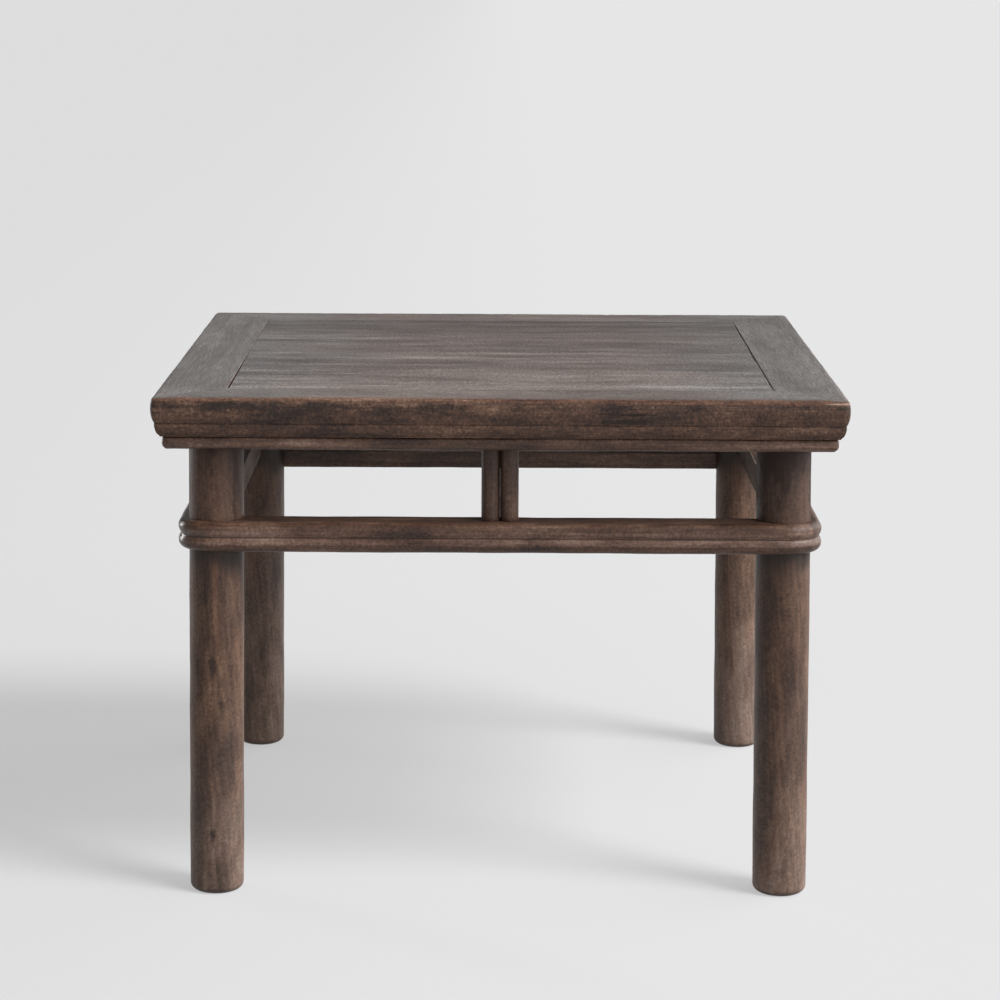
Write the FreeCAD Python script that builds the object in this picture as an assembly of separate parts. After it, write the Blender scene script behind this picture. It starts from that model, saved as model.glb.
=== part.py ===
import FreeCAD, Part
import math
import os

# Low square side table: a moulded frame-and-panel top on four round legs, held by
# double-beaded stretchers that wrap round the legs, with a pair of short struts on each side.
# Millimetres. +Z is up, the front faces -Y, the origin is on the floor under the middle of the top.

# Overall sizes
top_width = 660.0            # left to right over the moulded edge
top_depth = 660.0            # front to back over the moulded edge
table_height = 495.0         # floor to top surface

# Top frame rails
rail_width = 67.0            # moulded edge to panel
rail_thickness = 38.0
arris_radius = 3.5           # rounding of the top edge
crown_radius = 30.0          # bulge of the upper face
crown_level = 11.0           # depth of the furthest point of the bulge below the top
quirk_level = 24.5           # depth of the incised line below the top
quirk_height = 1.4
quirk_cut = 1.1
ovolo_radius = 15.0          # rounded lower face, under the incised line
ovolo_foot_inset = 8.3       # where the rounded face ends, in from the moulded edge
ovolo_foot_rise = 0.8        # its end above the underside of the rail

# Mitred corner tenons, from the front and rear rails into the side rails
corner_tenon_inset = 22.0    # from the moulded edge
corner_tenon_width = 28.0
corner_tenon_level = 17.0    # depth of its upper face below the top
corner_tenon_thickness = 12.0
corner_tenon_wall = 14.0     # wood left in front of its end

# Floating panel of three boards
panel_thickness = 12.0
tongue_thickness = 6.0       # lower part of the panel edge
tongue_length = 8.0
tongue_slack = 1.0           # room at the bottom of the groove
panel_end_gap = 0.7          # shrinkage gap at the side rails
panel_side_gap = 0.2         # gap at the front and rear rails
middle_board_width = 250.0

# Two battens under the panel
batten_spacing = 232.0       # centre to centre
batten_width = 46.0
batten_height = 20.0         # below the panel
dovetail_neck = 20.0
dovetail_head = 24.0
dovetail_height = 3.5
batten_tenon_width = 42.0
batten_tenon_thickness = 10.0
batten_tenon_drop = 1.0      # tenon below the top of the batten

# Edge strips under the rails, fixed with bamboo pins
strip_inset = 9.5            # back from the moulded edge
strip_height = 12.8
strip_crown = 3.0            # bulge of the rounded face
pin_diameter = 5.0
pin_depth = 7.0              # into the strip and into the rail
pin_spacing = 300.0
pins_per_strip = 2

# Legs
leg_diameter = 52.6
leg_inset = 57.5             # moulded edge to leg axis, under the top
leg_splay = 4.3              # how much further out the foot stands than the head
foot_chamfer = 3.0
leg_tenon_length = 14.0
leg_tenon_thickness = 12.0
leg_tenon_offset = 3.5       # from the leg axis to the tenon
long_tenon_height = 20.0     # into the front and rear rails
short_tenon_height = 11.0    # into the side rails

# Wrapped stretchers
stretcher_drop = 123.4       # top surface of the table to top of stretcher
stretcher_height = 28.8      # two beads share it
stretcher_depth = 39.0       # outer bead to inner face
stretcher_proud = 10.5       # beads stand this far out from the leg
bead_groove = 2.6            # depth of the groove between the beads
leg_notch = 9.3              # how deep the leg is squared to carry the stretchers
stretcher_tenon_setback = 2.0
stretcher_tenon_thickness = 10.0
stretcher_tenon_height = 20.0
long_stretcher_tenon = 28.0  # front and rear
short_stretcher_tenon = 14.0  # sides
rear_apron_height = 19.0     # plain lower part of the rear stretcher
rear_apron_thickness = 14.0

# Paired struts between the stretchers and the top
strut_diameter = 17.5
strut_gap = 0.4              # between the two of a pair
strut_tenon_width = 10.0     # along the rails
strut_tenon_thickness = 6.0
strut_tenon_length = 9.0

# Fits
joint_clearance = 0.1        # around tenons, pins and tongues
fit_overrun = 1.0            # how far a cutting shape passes the face that it cuts

# Values worked out from the sizes above
half_width = top_width / 2
half_depth = top_depth / 2
rail_underside = table_height - rail_thickness
strip_underside = rail_underside - strip_height
leg_radius = leg_diameter / 2
strip_back = leg_inset - leg_radius - joint_clearance
stretcher_top = table_height - stretcher_drop
stretcher_bottom = stretcher_top - stretcher_height
stretcher_middle = stretcher_top - stretcher_height / 2
stretcher_reach = leg_radius + stretcher_proud
stretcher_inner = stretcher_reach - stretcher_depth
leg_core = leg_radius - leg_notch
bead_radius = stretcher_height / 4
panel_underside = table_height - panel_thickness
Z_AXIS = FreeCAD.Vector(0, 0, 1)

# Each side is drawn as the front, facing -Y, then turned about Z
SIDE_TURN = {"front": 0, "right": 90, "rear": 180, "left": 270}
LONG_SIDES = ("front", "rear")
SIDE_STEP = {"left": -1, "right": 1, "front": -1, "rear": 1}


def vec(x, y, z):
    return FreeCAD.Vector(x, y, z)


def box(x_range, y_range, z_range):
    x0, x1 = sorted(x_range)
    y0, y1 = sorted(y_range)
    z0, z1 = sorted(z_range)
    return Part.makeBox(x1 - x0, y1 - y0, z1 - z0, vec(x0, y0, z0))


def upright_cylinder(x, y, z0, z1, diameter):
    return Part.makeCylinder(diameter / 2, z1 - z0, vec(x, y, z0))


def turned(shape, side):
    copy = shape.copy()
    copy.rotate(vec(0, 0, 0), Z_AXIS, SIDE_TURN[side])
    return copy


def side_halves(side):
    """Half length along a side of the top, and half distance across to it."""
    if side in LONG_SIDES:
        return half_width, half_depth
    return half_depth, half_width


def line(start, end):
    return Part.LineSegment(start, end).toShape()


def arc(place, centre, radius, start, end):
    """Arc in a section, from one angle to another in degrees; place maps section to space."""
    points = []
    for angle in (start, (start + end) / 2, end):
        turn = math.radians(angle)
        points.append(place(centre[0] + radius * math.cos(turn), centre[1] + radius * math.sin(turn)))
    return Part.Arc(*points).toShape()


def sagged_arc(place, start, end, rise):
    """Arc between two section points that bulges by rise to the right of start to end."""
    run = (end[0] - start[0], end[1] - start[1])
    lift = rise / math.hypot(*run)
    middle = ((start[0] + end[0]) / 2 + lift * run[1], (start[1] + end[1]) / 2 - lift * run[0])
    return Part.Arc(place(*start), place(*middle), place(*end)).toShape()


def section_face(edges):
    return Part.Face(Part.Wire(edges))


def mitred_bar(face, half_along, half_out, width):
    """Extrude a section along X and cut both ends on the 45 degree mitres of the corners."""
    bar = face.extrude(vec(2 * half_along, 0, 0))
    corners = [
        vec(-half_along, -half_out, 0),
        vec(half_along, -half_out, 0),
        vec(half_along - width, -half_out + width, 0),
        vec(-half_along + width, -half_out + width, 0),
    ]
    plan = Part.Face(Part.makePolygon(corners + corners[:1]))
    return bar.common(plan.extrude(vec(0, 0, table_height)))


def rail_blank(side):
    """One moulded rail of the top frame, mitred, before its joints are cut."""
    half_along, half_out = side_halves(side)

    def place(inset, depth):
        return vec(-half_along, -half_out + inset, table_height - depth)

    # The top edge rounding lies inside the bulge and is tangent to it
    span = crown_radius - arris_radius
    lift = crown_level - arris_radius
    meet = math.degrees(math.asin(lift / span))
    arris_inset = crown_radius - math.sqrt(span ** 2 - lift ** 2)
    crown_end = math.degrees(math.asin((quirk_level - crown_level) / crown_radius))
    quirk_inset = crown_radius - crown_radius * math.cos(math.radians(crown_end))
    quirk_top = (quirk_inset, quirk_level)
    quirk_root = (quirk_inset + quirk_cut, quirk_level + quirk_height / 2)
    quirk_foot = (quirk_inset, quirk_level + quirk_height)
    ovolo_foot = (ovolo_foot_inset, rail_thickness - ovolo_foot_rise)
    chord = math.dist(quirk_foot, ovolo_foot)
    ovolo_rise = ovolo_radius - math.sqrt(ovolo_radius ** 2 - (chord / 2) ** 2)

    edges = [
        line(place(rail_width, 0), place(arris_inset, 0)),
        arc(place, (arris_inset, arris_radius), arris_radius, 270, 180 + meet),
        arc(place, (crown_radius, crown_level), crown_radius, 180 + meet, 180 - crown_end),
        line(place(*quirk_top), place(*quirk_root)),
        line(place(*quirk_root), place(*quirk_foot)),
        sagged_arc(place, quirk_foot, ovolo_foot, -ovolo_rise),
        line(place(*ovolo_foot), place(ovolo_foot_inset, rail_thickness)),
        line(place(ovolo_foot_inset, rail_thickness), place(rail_width, rail_thickness)),
        line(place(rail_width, rail_thickness), place(rail_width, 0)),
    ]
    return turned(mitred_bar(section_face(edges), half_along, half_out, rail_width), side)


def panel_groove(side):
    """Groove in the inner edge of a rail for the tongue of the panel."""
    half_along, half_out = side_halves(side)
    inner_edge = -half_out + rail_width
    reach = tongue_length + tongue_slack
    half_run = half_along - rail_width + reach
    groove = box(
        (-half_run, half_run),
        (inner_edge - reach, inner_edge + fit_overrun),
        (panel_underside - joint_clearance, panel_underside + tongue_thickness + joint_clearance),
    )
    return turned(groove, side)


def corner_tenon(sx, sy, grow):
    """Tenon of a front or rear rail, reaching into a side rail at one corner."""
    y_outer = half_depth - corner_tenon_inset
    z_upper = table_height - corner_tenon_level
    return box(
        (sx * (half_width - rail_width - corner_tenon_wall), sx * (half_width - corner_tenon_wall + grow)),
        (sy * (y_outer + grow), sy * (y_outer - corner_tenon_width - grow)),
        (z_upper - corner_tenon_thickness - grow, z_upper + grow),
    )


def rail_side_of_mitre(sx, sy):
    """Prism over the part of a corner that belongs to the side rail."""
    corner = vec(sx * half_width, sy * half_depth, 0)
    inner = vec(sx * (half_width - rail_width), sy * (half_depth - rail_width), 0)
    outer = vec(sx * half_width, sy * (half_depth - rail_width), 0)
    face = Part.Face(Part.makePolygon([corner, inner, outer, corner]))
    return face.extrude(vec(0, 0, table_height))


def leg_axis(sx, sy, level):
    """Point on a leg's leaning axis at a height above the floor."""
    lean = leg_splay * (1 - level / rail_underside)
    return vec(sx * (half_width - leg_inset + lean), sy * (half_depth - leg_inset + lean), level)


def leg_post(sx, sy, radius):
    """Plain leaning round post, from the floor to the underside of the rails."""
    foot = leg_axis(sx, sy, 0)
    head = leg_axis(sx, sy, rail_underside)
    axis = (head - foot).normalize()
    overrun = axis * leg_radius
    post = Part.makeCylinder(radius, (head - foot).Length + 2 * leg_radius, foot - overrun, axis)
    return post.common(box((-top_width, top_width), (-top_depth, top_depth), (0, rail_underside)))


def leg_tenons(sx, sy, grow):
    """Long tenon into the front or rear rail and short tenon into the side rail."""
    head = leg_axis(sx, sy, rail_underside)
    near = leg_tenon_offset - grow
    far = leg_tenon_offset + leg_tenon_length + grow
    thin = leg_tenon_offset + leg_tenon_thickness + grow
    long_tenon = box(
        (head.x - sx * near, head.x - sx * thin),
        (head.y + sy * near, head.y + sy * far),
        (rail_underside - fit_overrun, rail_underside + long_tenon_height + grow),
    )
    short_tenon = box(
        (head.x + sx * near, head.x + sx * far),
        (head.y - sy * near, head.y - sy * thin),
        (rail_underside - fit_overrun, rail_underside + short_tenon_height + grow),
    )
    return long_tenon, short_tenon


def strut_places(side):
    """Centres of the two struts of a side, in the drawing of the front."""
    joint = leg_axis(1, 1, stretcher_middle)
    out = joint.y if side in LONG_SIDES else joint.x
    flat_middle = (stretcher_inner + stretcher_reach - bead_radius) / 2
    step = (strut_diameter + strut_gap) / 2
    return [(-step, -out - flat_middle), (step, -out - flat_middle)]


def strut_tenons(place, grow):
    """Bar through a strut that holds its tenons, one at each end."""
    x, y = place
    half_x = strut_tenon_width / 2 + grow
    half_y = strut_tenon_thickness / 2 + grow
    return box(
        (x - half_x, x + half_x),
        (y - half_y, y + half_y),
        (stretcher_top - strut_tenon_length - grow, rail_underside + strut_tenon_length + grow),
    )


def strut(side, number):
    """Short round strut with a flat tenon at each end."""
    place = strut_places(side)[number]
    body = upright_cylinder(*place, stretcher_top, rail_underside, strut_diameter)
    return turned(body.fuse(strut_tenons(place, 0)), side)


def strut_mortises(side):
    """Mortises for the strut tenons, in the faces of stretcher and rail."""
    return [turned(strut_tenons(place, joint_clearance), side) for place in strut_places(side)]


def batten_through(sx, grow):
    """Bar along Y that holds both through tenons of a batten."""
    x = sx * batten_spacing / 2
    z_upper = panel_underside - batten_tenon_drop
    return box(
        (x - batten_tenon_width / 2 - grow, x + batten_tenon_width / 2 + grow),
        (-half_depth - fit_overrun, half_depth + fit_overrun),
        (z_upper - batten_tenon_thickness - grow, z_upper + grow),
    )


def dovetail(sx, half_length, grow):
    """Sliding dovetail along the top of a batten."""
    x = sx * batten_spacing / 2
    neck = dovetail_neck / 2 + grow
    head = dovetail_head / 2 + grow
    z0 = panel_underside
    z1 = panel_underside + dovetail_height + grow
    corners = [
        vec(x - neck, -half_length, z0),
        vec(x + neck, -half_length, z0),
        vec(x + head, -half_length, z1),
        vec(x - head, -half_length, z1),
    ]
    face = Part.Face(Part.makePolygon(corners + corners[:1]))
    return face.extrude(vec(0, 2 * half_length, 0))


def batten(sx, blanks):
    """Batten under the panel: dovetail on top, tenons flush with the moulded front and rear edges."""
    x = sx * batten_spacing / 2
    half_length = half_depth - rail_width
    body = box(
        (x - batten_width / 2, x + batten_width / 2),
        (-half_length, half_length),
        (panel_underside - batten_height, panel_underside),
    )
    body = body.fuse(dovetail(sx, half_length, 0))
    for side in LONG_SIDES:
        body = body.fuse(batten_through(sx, 0).common(blanks[side]))
    return body.removeSplitter()


def panel_boards():
    """Three boards edge to edge; together they have a tongue all round, flush with the frame on top."""
    half_x = half_width - rail_width
    half_y = half_depth - rail_width
    shoulder = panel_underside + tongue_thickness
    field = box(
        (-half_x + panel_end_gap, half_x - panel_end_gap),
        (-half_y + panel_side_gap, half_y - panel_side_gap),
        (shoulder, table_height),
    )
    tongue = box(
        (-half_x - tongue_length, half_x + tongue_length),
        (-half_y - tongue_length, half_y + tongue_length),
        (panel_underside, shoulder),
    )
    panel = field.fuse(tongue)
    for sx in (-1, 1):
        panel = panel.cut(dovetail(sx, half_depth, joint_clearance))
    seam = middle_board_width / 2
    spans = {"front": (-half_depth, -seam), "middle": (-seam, seam), "rear": (seam, half_depth)}
    boards = {}
    for name, span in spans.items():
        slab = box((-half_width, half_width), span, (panel_underside, table_height))
        boards["panel_board_" + name] = panel.common(slab).removeSplitter()
    return boards


def edge_strip(side):
    """Round-faced strip under a rail, mitred at the corners, its back against the legs."""
    half_along, half_out = side_halves(side)

    def place(inset, depth):
        return vec(-half_along, -half_out + inset, rail_underside - depth)

    front = strip_inset + strip_crown
    edges = [
        line(place(strip_back, 0), place(front, 0)),
        sagged_arc(place, (front, 0), (front, strip_height), -strip_crown),
        line(place(front, strip_height), place(strip_back, strip_height)),
        line(place(strip_back, strip_height), place(strip_back, 0)),
    ]
    return turned(mitred_bar(section_face(edges), half_along, half_out, rail_width), side)


def strip_pins(side, grow):
    """Bamboo pins that fix a strip under its rail."""
    half_out = side_halves(side)[1]
    inset = (strip_inset + strip_back) / 2
    pins = []
    for number in range(pins_per_strip):
        x = (number - (pins_per_strip - 1) / 2) * pin_spacing
        pin = upright_cylinder(
            x,
            -half_out + inset,
            rail_underside - pin_depth - grow,
            rail_underside + pin_depth + grow,
            pin_diameter + 2 * grow,
        )
        pins.append(turned(pin, side))
    return pins


def stretcher_section(x, out, inner):
    """Double-beaded section, from its inner face to the outer beads."""

    def place(reach, level):
        return vec(x, -out - reach, stretcher_middle + level)

    half = stretcher_height / 2
    shoulder = stretcher_reach - bead_radius
    face_radius = (bead_groove ** 2 + bead_radius ** 2) / (2 * bead_groove)
    face_centre = stretcher_reach - face_radius
    face_end = math.degrees(math.asin(bead_radius / face_radius))
    return section_face([
        line(place(inner, -half), place(shoulder, -half)),
        arc(place, (shoulder, -bead_radius), bead_radius, -90, 0),
        arc(place, (face_centre, -bead_radius), face_radius, 0, face_end),
        arc(place, (face_centre, bead_radius), face_radius, -face_end, 0),
        arc(place, (shoulder, bead_radius), bead_radius, 0, 90),
        line(place(shoulder, half), place(inner, half)),
        line(place(inner, half), place(inner, -half)),
    ])


def stretcher_tenon(side, end, grow):
    """Tenon at one end of a stretcher, in the drawing of the front."""
    joint = leg_axis(1, 1, stretcher_middle)
    along, out = (joint.x, joint.y) if side in LONG_SIDES else (joint.y, joint.x)
    length = long_stretcher_tenon if side in LONG_SIDES else short_stretcher_tenon
    near = stretcher_inner + stretcher_tenon_setback
    half = stretcher_tenon_height / 2 + grow
    return box(
        (end * (along - leg_core - fit_overrun), end * (along - leg_core + length + grow)),
        (-out - near + grow, -out - near - stretcher_tenon_thickness - grow),
        (stretcher_middle - half, stretcher_middle + half),
    )


def stretcher(side):
    """Stretcher whose beads turn round the legs and meet the next stretcher on a mitre."""
    joint = leg_axis(1, 1, stretcher_middle)
    along, out = (joint.x, joint.y) if side in LONG_SIDES else (joint.y, joint.x)
    rail = stretcher_section(-along, out, stretcher_inner).extrude(vec(2 * along, 0, 0))
    for end in (-1, 1):
        # The skin outside the squared part of the leg turns through half a corner
        wrap = stretcher_section(end * along, out, leg_core / 2)
        rail = rail.fuse(wrap.revolve(vec(end * along, -out, 0), Z_AXIS, end * 45))
    for end in (-1, 1):
        rail = rail.cut(box(
            (end * along - leg_core, end * along + leg_core),
            (-out - leg_core, -out + leg_core),
            (stretcher_bottom, stretcher_top),
        ))
    rail = rail.removeSplitter()
    for end in (-1, 1):
        rail = rail.fuse(stretcher_tenon(side, end, 0))
    rail = turned(rail, side)
    if side == "rear":
        rail = rail.fuse(rear_apron())
    for mortise in strut_mortises(side):
        rail = rail.cut(mortise)
    return rail.removeSplitter()


def rear_apron():
    """Plain lower part of the rear stretcher, coped to the rear legs."""
    joint = leg_axis(1, 1, stretcher_middle)
    inner = joint.y + stretcher_inner
    apron = box(
        (-joint.x, joint.x),
        (inner, inner + rear_apron_thickness),
        (stretcher_bottom - rear_apron_height, stretcher_bottom),
    )
    for sx in (-1, 1):
        apron = apron.cut(leg_post(sx, 1, leg_radius + joint_clearance))
    return apron


def top_rail(side, blank):
    """Top rail with its groove, corner joints and the mortises for legs, struts, battens and pins."""
    rail = blank.cut(panel_groove(side))
    cuts = strut_mortises(side) + strip_pins(side, joint_clearance)
    step = SIDE_STEP[side]
    for other in (-1, 1):
        if side in LONG_SIDES:
            tenon = corner_tenon(other, step, 0).common(rail_side_of_mitre(other, step))
            rail = rail.fuse(tenon)
            cuts.append(leg_tenons(other, step, joint_clearance)[0])
            cuts.append(batten_through(other, joint_clearance))
        else:
            tenon = corner_tenon(step, other, joint_clearance)
            cuts.append(tenon.common(rail_side_of_mitre(step, other)))
            cuts.append(leg_tenons(step, other, joint_clearance)[1])
    for tool in cuts:
        rail = rail.cut(tool)
    return rail.removeSplitter()


def leg(sx, sy, stretchers):
    """Leaning round leg, squared where the stretchers wrap it, with tenons on its head."""
    post = leg_post(sx, sy, leg_radius)
    foot_edges = [edge for edge in post.Edges if edge.BoundBox.ZMax < joint_clearance]
    post = post.makeChamfer(foot_chamfer, foot_edges)
    for side in ("left" if sx < 0 else "right", "front" if sy < 0 else "rear"):
        post = post.cut(stretchers[side])
        for end in (-1, 1):
            post = post.cut(turned(stretcher_tenon(side, end, joint_clearance), side))
    for tenon in leg_tenons(sx, sy, 0):
        post = post.fuse(tenon)
    return post.removeSplitter()


def build_table():
    nodes = {}
    blanks = {side: rail_blank(side) for side in SIDE_TURN}
    stretchers = {side: stretcher(side) for side in SIDE_TURN}
    pins = []
    for side in SIDE_TURN:
        nodes["top_rail_" + side] = top_rail(side, blanks[side])
        strip = edge_strip(side)
        for hole in strip_pins(side, joint_clearance):
            strip = strip.cut(hole)
        nodes["edge_strip_" + side] = strip
        pins.extend(strip_pins(side, 0))
        nodes["stretcher_" + side] = stretchers[side]
        for number in (0, 1):
            nodes["strut_%s_%d" % (side, number + 1)] = strut(side, number)
    nodes["edge_strip_pins"] = Part.makeCompound(pins)
    nodes.update(panel_boards())
    for x_name, sx in (("left", -1), ("right", 1)):
        nodes["batten_" + x_name] = batten(sx, blanks)
        for y_name, sy in (("front", -1), ("rear", 1)):
            nodes["leg_%s_%s" % (y_name, x_name)] = leg(sx, sy, stretchers)
    return nodes


os.makedirs("parts", exist_ok=True)
for node_name, solid in build_table().items():
    solid.exportStep("parts/%s.step" % node_name)
    print(node_name, len(solid.Solids), "solid", round(solid.Volume / 1000, 1), "cm3", solid.isValid())
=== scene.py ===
# %% [markdown]
# A low square side table in old, dark elm: a moulded frame-and-panel top, four round legs, and
# double-beaded stretchers that wrap round the legs. The solids give every piece its place and size.
# This lesson gives each piece its hand-worked surface and its worn finish, one step at a time.

# %% Load the solids
import math
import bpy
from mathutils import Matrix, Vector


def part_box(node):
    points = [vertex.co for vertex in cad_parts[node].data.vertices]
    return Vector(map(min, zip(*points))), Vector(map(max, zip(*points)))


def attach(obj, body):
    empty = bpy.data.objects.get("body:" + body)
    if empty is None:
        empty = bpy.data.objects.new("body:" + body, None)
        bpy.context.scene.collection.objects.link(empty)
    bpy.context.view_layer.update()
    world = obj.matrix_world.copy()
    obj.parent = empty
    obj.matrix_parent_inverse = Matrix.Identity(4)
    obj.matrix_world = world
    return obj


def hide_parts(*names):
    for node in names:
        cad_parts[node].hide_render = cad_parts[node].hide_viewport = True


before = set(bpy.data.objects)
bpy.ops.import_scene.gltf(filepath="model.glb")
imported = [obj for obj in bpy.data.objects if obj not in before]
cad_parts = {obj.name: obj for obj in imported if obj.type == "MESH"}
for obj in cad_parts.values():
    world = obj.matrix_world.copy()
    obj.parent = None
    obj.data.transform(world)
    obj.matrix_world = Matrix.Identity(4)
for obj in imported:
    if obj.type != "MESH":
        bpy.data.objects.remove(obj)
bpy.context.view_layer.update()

from types import SimpleNamespace

import bmesh
import bpy
from mathutils import Matrix, Vector

MM = 0.001

# %% [markdown]
# The main sizes are read from the solids, so that the visible pieces can't drift away from them.
# What the boxes can't tell, such as the curves of the mouldings, is written down in millimetres.

# %% Sizes of the table
rail_low, rail_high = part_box("top_rail_front")
half_top = -rail_low.y                      # middle of the table to the moulded edge
table_height = rail_high.z
rail_underside = rail_low.z
stretcher_low, stretcher_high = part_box("stretcher_front")
stretcher_middle = (stretcher_low.z + stretcher_high.z) / 2
panel_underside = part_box("panel_board_front")[0].z

leg_radius = 26.3 * MM
leg_head = 272.5 * MM                       # leg axis from the middle, under the rails
leg_splay = 4.3 * MM                        # the foot stands this much further out
leg_core = 17.0 * MM                        # half of the squared part that the stretchers wrap
SIDES = {"front": 0, "right": 90, "rear": 180, "left": 270}


def leg_axis(level):
    """Distance of a leg's axis from the middle of the table, at a height above the floor."""
    return leg_head + leg_splay * (1 - level / rail_underside)


joint_out = leg_axis(stretcher_middle)
print("half top", round(half_top / MM, 1), "height", round(table_height / MM, 1))
print("leg axis at the stretchers", round(joint_out / MM, 2))

# %% [markdown]
# Every tree of nodes below is written with one small helper. It adds a node, sets its properties, the
# stops of its colour ramp or the facts it captures, and fills its sockets: another node is linked in,
# a colour is turned to linear values, and anything else is set as it is.

# %% One helper for colours, one for nodes
def linear(hex_colour):
    """A colour written as sRGB hex, as the linear values that a shader needs."""
    channels = [int(hex_colour[i:i + 2], 16) / 255 for i in (1, 3, 5)]
    return [c / 12.92 if c <= 0.04045 else ((c + 0.055) / 1.055) ** 2.4 for c in channels] + [1.0]


def add(tree, kind, sockets=None, stops=(), facts=(), **settings):
    node = tree.nodes.new(kind)
    for name, value in settings.items():
        setattr(node, name, value)
    for fact_kind, label in facts:
        node.capture_items.new(fact_kind, label)
    if stops:
        points = node.color_ramp.elements
        points.remove(points[1])
        points[0].position = stops[0][0]
        for position, colour in stops[1:]:
            points.new(position)
        for point, (position, colour) in zip(points, stops):
            point.color = linear(colour) if isinstance(colour, str) else (colour, colour, colour, 1)
    for key, value in (sockets or {}).items():
        if isinstance(key, int):
            target = node.inputs[key]
        else:
            target = next(s for s in node.inputs if s.enabled and s.name == key)
        if isinstance(value, bpy.types.Node):
            value = next(s for s in value.outputs if s.enabled)
        if isinstance(value, bpy.types.NodeSocket):
            tree.links.new(value, target)
        else:
            target.default_value = linear(value) if str(value).startswith("#") else value
    return node


print("helpers ready, middle grey is", round(linear("#808080")[0], 3))

# %% [markdown]
# The rails, strips, stretchers, legs and struts are all runs of one section along a path, as a
# moulding plane or a spokeshave leaves them. They could be extruded one by one, but one node tree
# that sweeps a profile along a path makes them all. The radius of the path's points scales the
# section, which rounds a foot or eases an end, and the radius of the profile's points carries how
# exposed each of them is.

# %% Node tree: the sweep
def new_tree(name, inputs):
    tree = bpy.data.node_groups.new(name, "GeometryNodeTree")
    for label, kind in inputs:
        tree.interface.new_socket(label, in_out="INPUT", socket_type="NodeSocket" + kind)
    tree.interface.new_socket("Geometry", in_out="OUTPUT", socket_type="NodeSocketGeometry")
    return tree, tree.nodes.new("NodeGroupInput").outputs, tree.nodes.new("NodeGroupOutput").inputs


run_tree, given, result = new_tree("moulded_run", [
    ("Path", "Object"), ("Profile", "Object"), ("Half Length", "Float"),
    ("Mitre", "Float"), ("Leg Core", "Float"), ("Clear Run", "Float"), ("Turn", "Float"),
    ("Material", "Material"),
])
path = add(run_tree, "GeometryNodeObjectInfo", {"Object": given["Path"]})
path = add(run_tree, "GeometryNodeSetCurveNormal", {"Curve": path.outputs["Geometry"]}, mode="Z_UP")
path_facts = add(run_tree, "GeometryNodeCaptureAttribute", {
    "Geometry": path, "Along": add(run_tree, "GeometryNodeSplineParameter").outputs["Length"],
    "Out": add(run_tree, "GeometryNodeInputNormal"),
}, facts=(("FLOAT", "Along"), ("VECTOR", "Out")))

profile = add(run_tree, "GeometryNodeObjectInfo", {"Object": given["Profile"]})
point_radius = add(run_tree, "GeometryNodeInputRadius")
profile_facts = add(run_tree, "GeometryNodeCaptureAttribute", {
    "Geometry": profile.outputs["Geometry"], "Section": add(run_tree, "GeometryNodeInputPosition"),
    "Exposure": point_radius,
}, facts=(("VECTOR", "Section"), ("FLOAT", "Exposure")))
swept = add(run_tree, "GeometryNodeCurveToMesh", {
    "Curve": path_facts.outputs["Geometry"], "Profile Curve": profile_facts.outputs["Geometry"],
    "Scale": point_radius, "Fill Caps": True,
})
print("sweep:", len(run_tree.nodes), "nodes")

# %% [markdown]
# A run ends in one of two ways. A mitre draws each end back by as much as a point lies in from the
# path. Where a stretcher wraps a leg, only the skin outside the squared part of the leg is left, so
# points further in are pushed out to it. Cutting the ends off with booleans would do both jobs too,
# but it leaves long thin faces that spoil the surface.

# %% Node tree: mitred and wrapped ends
centred = add(run_tree, "ShaderNodeMath", {
    0: path_facts.outputs["Along"], 1: given["Half Length"],
}, operation="SUBTRACT")
section = add(run_tree, "ShaderNodeSeparateXYZ", {"Vector": profile_facts.outputs["Section"]}).outputs
slope = add(run_tree, "ShaderNodeMath", {0: section["X"], 1: given["Mitre"]}, operation="MULTIPLY")
drawn_back = add(run_tree, "ShaderNodeMath", {0: centred, 1: slope}, operation="MULTIPLY")
mitred = add(run_tree, "GeometryNodeSetPosition", {
    "Geometry": swept, "Offset": add(run_tree, "ShaderNodeCombineXYZ", {"X": drawn_back}),
})

short = add(run_tree, "ShaderNodeMath", {0: given["Leg Core"], 1: section["X"]}, operation="SUBTRACT")
short = add(run_tree, "ShaderNodeMath", {0: short, 1: 0.0}, operation="MAXIMUM")
from_middle = add(run_tree, "ShaderNodeMath", {0: centred}, operation="ABSOLUTE")
at_leg = add(run_tree, "ShaderNodeMath", {0: from_middle, 1: given["Clear Run"]}, operation="GREATER_THAN")
push = add(run_tree, "ShaderNodeMath", {0: short, 1: at_leg}, operation="MULTIPLY")
push = add(run_tree, "ShaderNodeVectorMath", {0: path_facts.outputs["Out"], "Scale": push}, operation="SCALE")
wrapped = add(run_tree, "GeometryNodeSetPosition", {"Geometry": mitred, "Offset": push})
print("ends:", len(run_tree.nodes), "nodes")

# %% [markdown]
# A finish needs to know where a point lies in its plank. That is stored as the attribute grain:
# along the fibres, outward, and down, in metres. Round a leg the fibres follow the bend, so the arc
# is added to the length. The attribute edge keeps how exposed a point is, for wear.

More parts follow.
